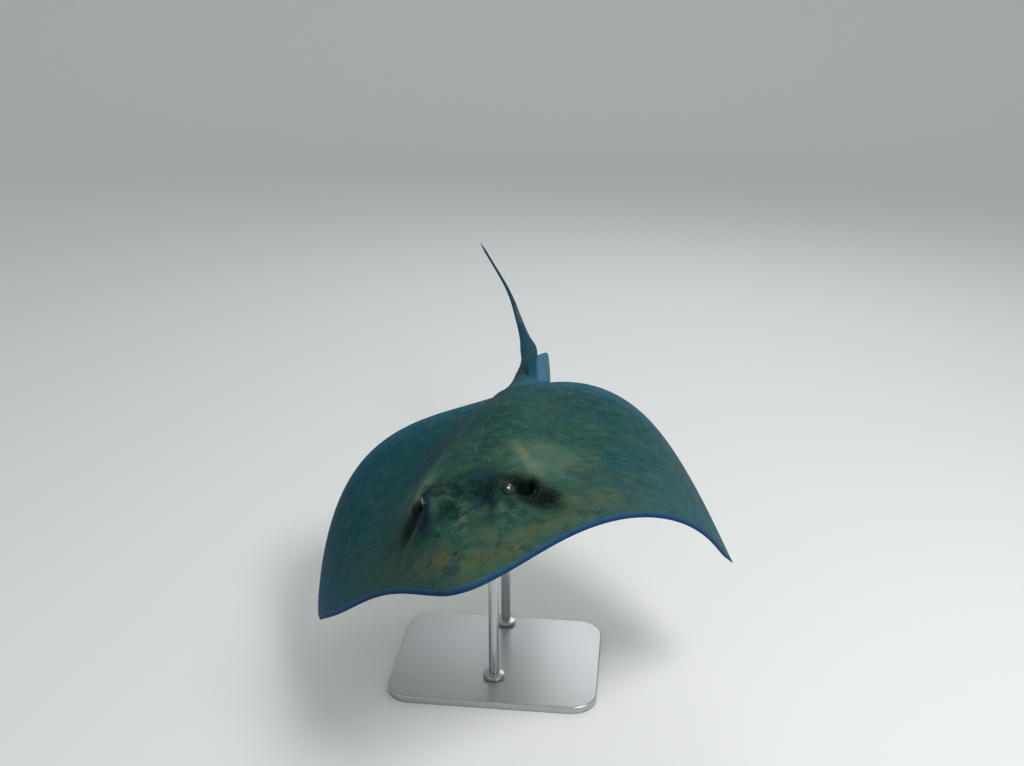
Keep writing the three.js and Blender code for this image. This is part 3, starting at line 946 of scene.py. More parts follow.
# ------------------------------------------------------------------ the skin


@dataclass
class Skin:
    """One skin over head, trunk, wings, fins and tail."""

    form: BodyForm = field(default_factory=BodyForm)
    pose: Pose = field(default_factory=Pose)
    tip_share: float = 0.9985
    centre_columns: int = 12
    fine: float = 0.0031
    coarse: float = 0.0092
    tail_rings: float = 0.0058
    sting_rings: float = 0.0035
    head_from: float = -0.235
    head_to: float = -0.070
    weld: float = 0.00012

    def _columns(self) -> Array:
        """x of the columns: closest over the head and the tail root, and at the wing tips.

        Returns:
            The places, from the right wing's tip to the left's.
        """
        t = np.linspace(0.0, 1.0, self.centre_columns + 1)
        opening, tip = self.form.tail.opening, self.tip_share * self.form.disc.half_span
        centre = opening * (0.5 * t + 0.5 * np.sin(0.5 * np.pi * t))

        def spacing(x: Array) -> Array:
            """The wanted distance between columns."""
            wide = lerp(self.fine, self.coarse, smooth((x - 0.115) / 0.12))
            return np.minimum(wide, 0.0008 + 0.3 * (tip - x))

        half = np.concatenate([centre, graded(opening, tip, spacing)[1:]])
        return np.concatenate([-half[:0:-1], half])

    def _shares(self) -> Array:
        """Shares of the chord at which the rows lie, closest at the margins and over the head.

        Returns:
            The shares, from 0 at the front to 1 at the rear.
        """
        snout, rear = self.form.disc.snout_y, self.form.disc.rear_y

        def spacing(y: Array) -> Array:
            """The wanted distance between rows.

            Args:
                y: Places along the body.

            Returns:
                The distance at each place.
            """
            into = smooth((y - self.head_from + 0.04) / 0.04) * smooth((self.head_to + 0.05 - y) / 0.05)
            wide = lerp(self.coarse, self.fine, into)
            return np.minimum(wide, 0.0004 + 0.3 * np.minimum(y - snout, rear - y))

        return (graded(snout, rear, spacing) - snout) / (rear - snout)

    def _ring_places(self) -> Array:
        """y of the rings of the free tail, closest at its root and round the sting's.

        Returns:
            The places, from root to tip.
        """
        start = self.form.disc.rear_y + 0.003

        def spacing(y: Array) -> Array:
            """The wanted distance between rings."""
            wide = self.tail_rings - self.sting_rings * hump(y, 0.718, 0.030)
            return np.minimum(wide, 0.0025 + 0.06 * (y - start))

        return graded(start, self.form.tail.tip_y, spacing)

    def _tail_ring(self, y: float, x: Array) -> tuple[Array, Array]:
        """The upper and lower points of a tail ring over the columns of the opening.

        Args:
            y: The ring's place along the tail.
            x: The columns' places across the opening.

        Returns:
            The points over the columns and those under them.
        """
        tail = self.form.tail
        u = x / tail.opening
        width, height = tail.flared(y, self.form.disc.rear_y), tail.half_height(y)
        arch = np.sqrt(np.maximum(1 - u**2, 0.0))
        place = np.full_like(x, y)
        crest = tail.keel(y) * hump(u, 0, 0.16) + tail.cover(y) * hump(u, 0, 0.52)
        upper = np.stack([width * u, place, height * arch + crest], 1)
        lower = np.stack([width * u, place, -height * arch], 1)
        fold = float(tail.fold(np.array(y)))
        thin = float(smooth(fold / 0.002))
        for step, half, drop in ((2, 0.0011, 0.0), (1, 0.0007, 0.93), (0, 0.0, 1.0)):
            for sign in (-1, 1):
                k = len(x) // 2 + sign * step
                lower[k, 0] = lerp(lower[k, 0], sign * half, thin)
                lower[k, 2] = lerp(lower[k, 2], -height, thin) - drop * fold
        return upper, lower

    def _cage(self) -> bmesh.types.BMesh:
        """The skin's corners and faces before the surface is drawn.

        A corner of the disc holds x, y and its sheet, and a corner of the tail its true place.

        Returns:
            The cage.
        """
        x, shares = self._columns(), self._shares()
        disc, opening = self.form.disc, self.form.tail.opening
        y = lerp(disc.front(x)[:, None], disc.rear(x)[:, None], shares[None, :])
        top = np.arange(y.size).reshape(y.shape)
        bottom = top + y.size
        border = np.zeros(y.shape, bool)
        border[[0, -1], :] = True
        border[:, 0] = True
        border[np.abs(x) >= opening - 1e-6, -1] = True
        bottom[border] = top[border]
        sheet, grid_x = np.where(border, 0.0, 1.0), np.repeat(x[:, None], len(shares), 1)
        points = [np.stack([grid_x, y, s], 2).reshape(-1, 3) for s in (sheet, -sheet)]
        quads = [grid_faces(top), grid_faces(bottom, True)]
        gate = np.flatnonzero(np.abs(x) < opening + 1e-6)
        loops = top[gate, -1], bottom[gate, -1]
        base = first_tail = 2 * y.size
        for ring_y in self._ring_places():
            points += self._tail_ring(float(ring_y), x[gate])
            upper = base + np.arange(len(gate))
            lower = upper + len(gate)
            lower[[0, -1]] = upper[[0, -1]]
            for old, new, flip in zip(loops, (upper, lower), (False, True)):
                quads.append(grid_faces(np.stack([old, new], 1), flip))
            loops = upper, lower
            base += 2 * len(gate)
        end = [*loops[0].tolist(), *loops[1][-2:0:-1].tolist()]
        places, walls = np.concatenate(points), np.concatenate(quads)
        bm = bmesh.new()
        on_tail = bm.verts.layers.int.new("tail")
        corners = {}
        for index in np.unique(np.concatenate([walls.ravel(), end])).tolist():
            corners[index] = bm.verts.new(places[index])
            corners[index][on_tail] = int(index >= first_tail)
        for face in (*walls.tolist(), end):
            bm.faces.new([corners[v] for v in face])
        return bm

    def _refine(self, bm: bmesh.types.BMesh) -> None:
        """Splits the faces where the surface has small features.

        Args:
            bm: The cage.
        """
        socket, spiracle, under = self.form.socket, self.form.spiracle, self.form.underside
        zones = [
            (1, Patch(0.068, -0.143, 0.037, 0.053), 1),
            (1, Patch(socket.x + 0.002, socket.y, 0.021, 0.021), 2),
            (1, Patch(spiracle.x, spiracle.y, 0.017, 0.030, spiracle.turn), 1),
            (-1, Patch(0.0, under.mouth_y - 0.012, 0.048, 0.034), 2),
            (-1, Patch(0.0, under.vent.y, 0.012, 0.026), 2),
        ]
        zones += [(-1, Patch(s.x, s.y, 0.017, 0.006, s.turn), 5) for s in under.slit_patches()]
        for sheet, patch, cuts in zones:
            faces = [f for f in bm.faces if all(abs(v.co.z - sheet) < 1e-6 for v in f.verts)]
            centres = np.array([f.calc_center_median()[:2] for f in faces])
            inside = patch.radius(centres[:, 0], centres[:, 1]) < 1
            edges = {e for f, keep in zip(faces, inside) if keep for e in f.edges}
            bmesh.ops.subdivide_edges(bm, edges=list(edges), cuts=cuts, use_grid_fill=True)

    def _flat_mesh(self) -> Mesh:
        """The closed skin of disc and tail, laid flat.

        Returns:
            The mesh, without the pelvic fins.
        """
        bm = self._cage()
        self._refine(bm)
        on_tail = bm.verts.layers.int["tail"]
        cage = np.array([v.co for v in bm.verts])
        disc_part = np.array([v[on_tail] == 0 for v in bm.verts])
        cage[disc_part] = self.form.surface(*cage[disc_part].T)
        for corner, place in zip(bm.verts, cage):
            corner.co = place
        bmesh.ops.remove_doubles(bm, verts=bm.verts, dist=self.weld)
        bmesh.ops.triangulate(bm, faces=[f for f in bm.faces if len(f.verts) > 4])
        mesh = bpy.data.meshes.new("skin")
        bm.to_mesh(mesh)
        bm.free()
        return mesh

    def build(self) -> Piece:
        """The finished skin, posed, with the attributes that its colours read.

        Returns:
            The piece.
        """
        piece = new_object("skin", self._flat_mesh())
        fins = [PelvicFin(self.form, side).build(f"fin_{name}") for name, side in SIDES.items()]
        for fin in fins:
            union = piece.modifiers.new(f"join_{fin.name}", "BOOLEAN")
            union.operation = "UNION"
            union.solver = "MANIFOLD"
            union.object = fin
        settle(piece)
        for fin in fins:
            bpy.data.objects.remove(fin)
        flat = vectors(piece.data.vertices, "co")
        self._paint(piece.data, flat)
        piece.data.vertices.foreach_set("co", np.ascontiguousarray(self.pose(flat), float).ravel())
        piece.data.update()
        return piece

    def _paint(self, mesh: Mesh, flat: Array) -> None:
        """Stores where each corner lies on the flat animal, how deep in a hollow, which the colours darken
        as painted shade, and where the lids' rims are, which they lighten as a painted highlight.

        Args:
            mesh: The flat skin.
            flat: The places of its corners.
        """
        x, y, z = flat.T
        disc, socket, spiracle = self.form.disc, self.form.socket, self.form.spiracle
        middle = disc.middle(x, y)
        down = smooth((0.25 - vectors(mesh.vertices, "normal")[:, 2]) / 0.5)
        under = smooth((middle - z) / 0.0008 + 0.5)
        off_disc = smooth((y - disc.rear(x) + 0.02) / 0.02)
        openings = np.clip(self.form.underside.hollows(x, y) / 0.0045, 0.0, 1.0)
        hollow = np.where(z > middle, spiracle.pit(x, y) / spiracle.depth, openings)
        lid = np.zeros(len(flat))
        for side in SIDES.values():
            offset = flat - socket.centre(side)
            near = np.linalg.norm(offset, axis=1) < socket.radius + 0.004
            around = socket.opening(offset, side)
            # the gap inside each lid counts as a hollow, for painted shade
            hollow = np.maximum(hollow, np.where(near, 1 - smooth((around - 0.95) / 0.25), 0.0))
            # the lids' rims, which the colours lighten as a painted highlight
            lid = np.maximum(lid, np.where(near, hump(around, 1.17, 0.13), 0.0))
        values = {"flat": flat, "belly": lerp(under, down, off_disc), "hollow": hollow, "lid": lid}
        values |= {"lead": np.clip(disc.lead(x, y), 0.0, 1.0), "inset": np.clip(disc.inset(x, y), 0.0, 1.0)}
        for name, value in values.items():
            store(mesh, name, value)


@dataclass
class PelvicFin:
    """One of the two small fins at the root of the tail."""

    form: BodyForm
    side: int
    root_x: float = 0.016
    front: float = 0.318
    rear: float = 0.430
    centre_y: float = 0.386
    width: float = 0.037
    half_length: float = 0.074
    corner: float = 0.75
    corner_reach: float = 0.8
    sag: float = 0.005
    lift_left: float = 0.030
    lift_right: float = -0.016
    root_thickness: float = 0.007
    rim_thickness: float = 0.0014
    root_rise: float = 0.0100
    columns: int = 20
    rows: int = 40

    def _point(self, out: Array, v: Array, under: bool) -> Array:
        """Points of the fin, laid flat.

        Args:
            out: Shares of the way from the root to the rim.
            v: Shares of the way from front to rear.
            under: Whether the point is on the lower face.

        Returns:
            The points.
        """
        turn = np.radians(lerp(-80.0, 82.0, v))
        power = np.where(turn > 0, self.corner, 1.0)
        across = np.abs(np.cos(turn)) ** power
        along = np.sign(turn) * np.abs(np.sin(turn)) ** power
        along *= np.where(turn > 0, 1 + self.corner_reach * across**3, 1.0)
        x = self.root_x + self.width * across * out
        y = lerp(lerp(self.front, self.rear, v), self.centre_y + self.half_length * along, out)
        disc = self.form.disc
        seat = -disc.belly(x, np.minimum(y, disc.rear(x))) - self.sag * out
        rise = (self.lift_left if self.side > 0 else self.lift_right) * smooth((y - 0.365) / 0.095)
        thickness = lerp(self.rim_thickness, self.root_thickness, (1 - out) ** 1.5)
        edge = np.minimum(np.minimum(v, 1 - v) * 9, (1 - out) * 12)
        half = 0.5 * thickness * np.sqrt(1 - (1 - np.clip(edge, 0.06, 1.0)) ** 2)
        middle = seat - 0.5 * thickness + self.root_rise * (1 - out) ** 2 + rise
        return np.stack([self.side * x, y, middle + (-half if under else half)], -1)

    def build(self, name: str) -> Piece:
        """The fin as a closed mesh, laid flat, with its root inside the body.

        Args:
            name: The fin's name.

        Returns:
            The fin.
        """
        steps = np.linspace(0, 1, self.columns + 1), np.linspace(0, 1, self.rows + 1)
        out, v = np.meshgrid(*steps, indexing="ij")
        points = [self._point(out, v, under).reshape(-1, 3) for under in (False, True)]
        top = np.arange(out.size).reshape(out.shape)
        here = np.concatenate([top[:, 0], top[-1, 1:], top[-2::-1, -1], top[0, -2:0:-1]])
        after = np.roll(here, -1)
        rim = np.stack([after, here, here + out.size, after + out.size], 1)
        faces = np.concatenate([grid_faces(top), grid_faces(top + out.size, True), rim]).tolist()
        return new_object(name, mesh_from(name, np.concatenate(points), faces, True))


# ------------------------------------------------------------------ eyes and sting


@dataclass
class Eyeball:
    """An eye with a domed cornea, built about its line of sight."""

    socket: EyeSocket
    pose: Pose
    side: int
    rings: int = 48
    sides: int = 72
    cornea: float = 0.0006
    play: float = 0.0006

    def build(self, name: str) -> Piece:
        """The eyeball, with the place of each corner about the gaze in the attribute 'gaze'.

        Args:
            name: The piece's name.

        Returns:
            The piece.
        """
        centre, radius = self.socket.centre(self.side), self.socket.radius - self.play
        gaze, long, across = self.socket.axes(self.side)
        theta = np.linspace(0, np.pi, self.rings + 1)[1:-1, None]
        phi = np.linspace(0, 2 * np.pi, self.sides, endpoint=False)[None, :]
        wide, high = np.sin(theta) * np.cos(phi), np.sin(theta) * np.sin(phi)
        direction = np.cos(theta)[..., None] * gaze + wide[..., None] * long + high[..., None] * across
        domed = radius + self.cornea * hump(theta, 0.0, 0.6)
        body = (centre + direction * domed[..., None]).reshape(-1, 3)
        looks = np.stack([theta * np.cos(phi), theta * np.sin(phi), 0 * theta * phi], 2).reshape(-1, 3)
        points = np.concatenate([body, [centre + gaze * (radius + self.cornea), centre - gaze * radius]])
        faces, last = wall(self.rings - 1, self.sides), len(body) - self.sides
        for k in range(self.sides):
            after = (k + 1) % self.sides
            faces += [(len(body), after, k), (len(body) + 1, last + k, last + after)]
        mesh = mesh_from(name, self.pose(points), faces, True)
        store(mesh, "gaze", np.concatenate([looks, [[0, 0, 0], [np.pi, 0, 0]]]))
        return new_object(name, mesh)


@dataclass
class Sting:
    """The serrated spine that lies along the top of the tail."""

    form: BodyForm
    pose: Pose
    y: float = 0.715
    length: float = 0.105
    half_width: float = 0.0042
    half_thickness: float = 0.0016
    lift: float = 8.0
    splay: float = 3.0
    taper: float = 2.4
    tip: float = 0.0003
    tip_half_thickness: float = 0.00035
    groove: float = 0.35
    barbs: int = 22
    barb: float = 0.0009
    barbs_from: float = 0.22
    barbs_to: float = 0.985
    rings: int = 220
    sides: int = 20

    def build(self, name: str) -> Piece:
        """The blade with its groove and its barbs, which point forward.

        Args:
            name: The piece's name.

        Returns:
            The piece.
        """
        t = np.linspace(0.0, 1.0, self.rings + 1)
        blade = lerp(self.tip, self.half_width, 1 - t**self.taper)
        tooth = (t - self.barbs_from) / (self.barbs_to - self.barbs_from) * self.barbs
        saw = np.where((tooth > 0) & (tooth < self.barbs), (1 - tooth % 1.0) ** 1.6, 0.0)
        blade = blade * (0.86 + 0.04 * smooth(t / 0.1)) + self.barb * saw * smooth((1 - t) / 0.1)
        thick = lerp(self.half_thickness, self.tip_half_thickness, t**2)
        lift, splay = math.radians(self.lift), math.tan(math.radians(self.splay))
        seat = float(self.form.tail.half_height(np.array(self.y))) + self.half_thickness * 0.7
        angle = np.linspace(0, 2 * np.pi, self.sides, endpoint=False)
        across, up = np.cos(angle), np.sin(angle)
        flat_top = up * (1 - self.groove * hump(across, 0.0, 0.25) * (up > 0))
        along = (t * self.length)[:, None]
        bed = thick[:, None] * flat_top[None, :]
        x = blade[:, None] * across[None, :] + along * splay
        y = self.y + along * math.cos(lift) - bed * math.sin(lift)
        z = seat + along * math.sin(lift) + bed * math.cos(lift)
        points, faces = ring_tube(np.stack([x, y, z], 2)[:, ::-1])
        mesh = mesh_from(name, self.pose(points), faces)
        store(mesh, "blade", np.repeat(t, self.sides))
        return new_object(name, mesh)


# ------------------------------------------------------------------ node trees


def both_ways(operation: str) -> tuple[Callable, Callable]:
    """The plain and the reflected method of Socket for an operation.

    Args:
        operation: The Math node's operation.

    Returns:
        Both methods.
    """

    def plain(this: "Socket", other: "Socket | float") -> "Socket":
        """The operation on this and another."""
        return this.math(operation, this, other)

    def reflected(this: "Socket", other: "Socket | float") -> "Socket":
        """The operation on another and this."""
        return this.math(operation, other, this)

    return plain, reflected


class Socket:
    """An output socket of a node tree that Python expressions can be written with."""

    __add__, __radd__ = both_ways("ADD")
    __sub__, __rsub__ = both_ways("SUBTRACT")
    __mul__, __rmul__ = both_ways("MULTIPLY")
    __truediv__, __rtruediv__ = both_ways("DIVIDE")
    __pow__, __rpow__ = both_ways("POWER")

    def __init__(self, tree: "Tree", socket: bpy.types.NodeSocket) -> None:
        """Wraps an output socket of a tree."""
        self.tree = tree
        self.socket = socket

    def math(self, operation: str, *values: "Socket | float") -> "Socket":
        """A Math node over some values."""
        return self.tree.add("ShaderNodeMath", dict(enumerate(values)), operation=operation)

    def other(self, name: str | int) -> "Socket":
        """Another output of the same node."""
        return Socket(self.tree, self.socket.node.outputs[name])

    def abs(self) -> "Socket":
        """This without its sign."""
        return self.math("ABSOLUTE", self)

    def ramp(self, start: float, end: float) -> "Socket":
        """0 at start and 1 at end, eased between them."""
        links = {"Value": self, "From Min": start, "From Max": end}
        return self.tree.add("ShaderNodeMapRange", links, interpolation_type="SMOOTHSTEP")

    def bell(self, centre: float, width: float) -> "Socket":
        """A bell of height 1 about a centre."""
        t = (self - centre) / width
        return self.math("EXPONENT", (t * t) * -1.0)


class Tree:
    """A node tree to which nodes are added by type, properties and inputs."""

    def __init__(self, tree: bpy.types.NodeTree) -> None:
        """Wraps a tree."""
        self.tree = tree

    def add(self, kind: str, links: dict | None = None, out: str | int = 0, **settings: object) -> Socket:
        """Adds a node.

        Args:
            kind: The node's type.
            links: Values or sockets for its inputs, by name or number.
            out: The wanted output, by name or number.
            settings: Its properties, which are set first.

        Returns:
            That output.
        """
        node = self.tree.nodes.new(kind)
        for key, value in settings.items():
            setattr(node, key, value)
        for key, value in (links or {}).items():
            self.put(node.inputs[key], value)
        return Socket(self, node.outputs[out])

    def put(self, target: bpy.types.NodeSocket, value: object) -> None:
        """Links an input to a socket, or sets it to a value.

        Args:
            target: The input.
            value: A socket, a number, a vector or a colour.
        """
        if isinstance(value, Socket):
            self.tree.links.new(value.socket, target)
        else:
            target.default_value = (*value, 1.0) if target.type == "RGBA" and len(value) == 3 else value

    def vector_math(self, operation: str, *values: Socket | Sequence[float]) -> Socket:
        """A Vector Math node over some vectors."""
        return self.add("ShaderNodeVectorMath", dict(enumerate(values)), operation=operation)


# ------------------------------------------------------------------ thorns


class ScatterTree(Tree):
    """A Geometry Nodes tree with named inputs."""

    def __init__(self, name: str, kinds: dict[str, str]) -> None:
        """Starts a tree that takes and gives a geometry.

        Args:
            name: The tree's name.
            kinds: The kind of each further input, by name.
        """
        super().__init__(bpy.data.node_groups.new(name, "GeometryNodeTree"))
        socket = self.tree.interface.new_socket
        for key, kind in {"Geometry": "Geometry", **kinds}.items():
            socket(key, in_out="INPUT", socket_type=f"NodeSocket{kind}")
        socket("Geometry", in_out="OUTPUT", socket_type="NodeSocketGeometry")
        given = self.tree.nodes.new("NodeGroupInput").outputs
        self.given = {key: Socket(self, given[key]) for key in ("Geometry", *kinds)}

    def attribute(self, name: str, kind: str) -> Socket:
        """A named attribute of the geometry."""
        return self.add("GeometryNodeInputNamedAttribute", {"Name": name}, "Attribute", data_type=kind)

    def stored(self, geometry: Socket, name: str, value: Socket, kind: str, domain: str) -> Socket:
        """A geometry with a value stored on it as a named attribute."""
        links = {"Geometry": geometry, "Name": name, "Value": value}
        return self.add("GeometryNodeStoreNamedAttribute", links, data_type=kind, domain=domain)

    def run(self, piece: Piece, values: dict[str, object]) -> None:
        """Runs the tree over a piece with its inputs set, and keeps the result as a plain mesh.

        Args:
            piece: The piece whose mesh the tree is given.
            values: The inputs' values, by name.
        """
        modifier = piece.modifiers.new("scatter", "NODES")
        modifier.node_group = self.tree
        for item in self.tree.interface.items_tree:
            if item.in_out == "INPUT" and item.name in values:
                modifier[item.identifier] = values[item.name]
        settle(piece)


THORN_INPUTS = {name: "Float" for name in ("Density", "Gap", "Height", "Radius")}
THORN_INPUTS |= {"Seed": "Int", "Material": "Material"}


@dataclass
class Thorns:
    """Small thorns scattered along the midline of the back and over the tail."""

    name: str
    attribute: str
    per_area: float
    gap: float
    height: float
    radius: float
    seed: int
    sides: int = 7
    tip_radius: float = 0.00008
    root_share: float = 0.12
    smallest: float = 0.55
    largest: float = 1.15
    patch: float = 0.0015
    sheet_width: float = 1.0
    sheet_length: float = 1.8
    sheet_start: float = 0.36

    def _hooked(self, t: ScatterTree) -> Socket:
        """One thorn, bent towards the tail, that keeps each point's place in an attribute.

        Args:
            t: The tree.

        Returns:
            The thorn's geometry.
        """
        height = t.given["Height"]
        links = {"Vertices": self.sides, "Side Segments": 3, "Radius Top": self.tip_radius}
        links |= {"Radius Bottom": t.given["Radius"], "Depth": height}
        cone = t.add("GeometryNodeMeshCone", links, "Mesh")
        place = t.add("GeometryNodeInputPosition")
        rise = t.add("ShaderNodeSeparateXYZ", {"Vector": place}, "Z") / height
        shift = t.add("ShaderNodeCombineXYZ", {"Y": rise**2.0 * height, "Z": height * -self.root_share})
        bent = t.add("GeometryNodeSetPosition", {"Geometry": cone, "Offset": shift})
        return t.stored(bent, "local", place, "FLOAT_VECTOR", "POINT")

    def _sheet(self, t: ScatterTree) -> Socket:
        """The place of each corner on a flat sheet that holds the whole animal.

        Args:
            t: The tree.

        Returns:
            The place, as a vector.
        """
        scale = (1 / self.sheet_width, 1 / self.sheet_length, 0.0)
        start = (0.5, self.sheet_start / self.sheet_length, 0.0)
        root = t.vector_math("MULTIPLY_ADD", t.attribute("flat", "FLOAT_VECTOR"), scale, start)
        local, share = t.attribute("local", "FLOAT_VECTOR"), self.patch / self.radius
        return t.vector_math("ADD", root, t.vector_math("MULTIPLY", local, (share, share, share)))

    def _tree(self) -> ScatterTree:
        """The tree that scatters thorns over a skin and turns them into a mesh.

        Returns:
            The finished tree.
        """
        t = ScatterTree(self.name, THORN_INPUTS)
        given = t.given
        links = {"Mesh": given["Geometry"], "Distance Min": given["Gap"], "Density Max": given["Density"]}
        links |= {"Density Factor": t.attribute(self.attribute, "FLOAT"), "Seed": given["Seed"]}
        points = t.add("GeometryNodeDistributePointsOnFaces", links, "Points", distribute_method="POISSON")
        align = "FunctionNodeAlignRotationToVector"
        upright = t.add(align, {"Vector": points.other("Normal")}, axis="Z")
        turned = t.add(align, {"Rotation": upright, "Vector": (0.0, 1.0, 0.0)}, axis="Y", pivot_axis="Z")
        links = {"Min": self.smallest, "Max": self.largest, "Seed": given["Seed"]}
        size = t.add("FunctionNodeRandomValue", links, "Value", data_type="FLOAT")
        links = {"Points": points, "Instance": self._hooked(t), "Rotation": turned, "Scale": size}
        planted = t.add("GeometryNodeInstanceOnPoints", links)
        real = t.add("GeometryNodeRealizeInstances", {"Geometry": planted})
        mapped = t.stored(real, "OFBake", self._sheet(t), "FLOAT2", "CORNER")
        dressed = t.add("GeometryNodeSetMaterial", {"Geometry": mapped, "Material": given["Material"]})
        t.put(t.tree.nodes.new("NodeGroupOutput").inputs["Geometry"], dressed)
        return t

    def build(self, skin: Piece, material: Material) -> Piece:
        """The thorns as one plain mesh over a skin.

        Args:
            skin: The skin, with the attribute that says where thorns grow.
            material: The thorns' material.

        Returns:
            The piece.
        """
        piece = new_object(self.name, skin.data.copy())
        values = (self.per_area, self.gap, self.height, self.radius, self.seed, material)
        self._tree().run(piece, dict(zip(THORN_INPUTS, values)))
        return piece


# ------------------------------------------------------------------ shaders


class Shader(Tree):
    """One material's tree, with a Principled surface."""

    def __init__(self, name: str) -> None:
        """Starts a material.

        Args:
            name: The material's name.
        """
        self.material = bpy.data.materials.new(name)
        self.material.use_nodes = True
        super().__init__(self.material.node_tree)

    def attribute(self, name: str, kind: str = "Fac") -> Socket:
        """A number or a vector stored on the mesh."""
        return self.add("ShaderNodeAttribute", None, kind, attribute_name=name)

    def place(self) -> Socket:
        """The point in the object's own space."""
        return self.add("ShaderNodeTexCoord", None, "Object")

    def parts(self, vector: Socket) -> tuple[Socket, Socket, Socket]:
        """The three numbers of a vector."""
        first = self.add("ShaderNodeSeparateXYZ", {"Vector": vector})
        return first, first.other(1), first.other(2)

    def stretched(self, vector: Socket, scale: Sequence[float] = (1, 1, 1), shift: float = 0) -> Socket:
        """A vector scaled and moved."""
        return self.vector_math("MULTIPLY_ADD", vector, scale, (shift, shift * 0.7, shift * 1.3))

    def noise(self, at: Socket, scale: float, detail: float, rough: float = 0.5, shift: float = 0) -> Socket:
        """Cloudy noise about 0.5, moved along to be unlike another noise.

        Args:
            at: The point that it is read at.
            scale: Its scale: the higher, the smaller the clouds.
            detail: How many finer layers it has.
            rough: How strong the finer layers are.
            shift: How far it is moved.

        Returns:
            The noise, from 0 to 1.
        """
        vector = self.stretched(at, shift=shift) if shift else at
        links = {"Vector": vector, "Scale": scale, "Detail": detail, "Roughness": rough}
        return self.add("ShaderNodeTexNoise", links, "Fac")

    def cells(self, vector: Socket, scale: float) -> Socket:
        """Distance to scattered points."""
        return self.add("ShaderNodeTexVoronoi", {"Vector": vector, "Scale": scale}, "Distance")

    def mix(self, share: Socket | float, a: object, b: object) -> Socket:
        """A colour a share of the way from a to b."""
        return self.add("ShaderNodeMix", {"Factor": share, 6: a, 7: b}, 2, data_type="RGBA")

    def layered(self, colour: object, *layers: tuple[Socket, object]) -> Socket:
        """A colour with others laid over it one by one.

        Args:
            colour: The colour underneath.
            layers: The share and the colour of each layer, from the lowest up.

        Returns:
            The colour that shows.
        """
        for share, tint in layers:
            colour = self.mix(share, colour, tint)
        return colour

    def bump(self, height: Socket, distance: float, strength: float) -> Socket:
        """A normal bent by a height."""
        links = {"Height": height, "Distance": distance, "Strength": strength}
        return self.add("ShaderNodeBump", links, "Normal")

    def finish(self, **sockets: object) -> Material:
        """Sets the surface's sockets.

        Args:
            sockets: A value or a link for each, by its name with _ for a space.

        Returns:
            The material.
        """
        for name, value in sockets.items():
            self.put(self.tree.nodes["Principled BSDF"].inputs[name.replace("_", " ")], value)
        return self.material


def rgb(*screen: int) -> Colour:
    """A colour written as 0 to 255 for a screen, as the linear numbers that a shader takes."""
    shares = (value / 255 for value in screen)
    return tuple(c / 12.92 if c <= 0.04045 else ((c + 0.055) / 1.055) ** 2.4 for c in shares)


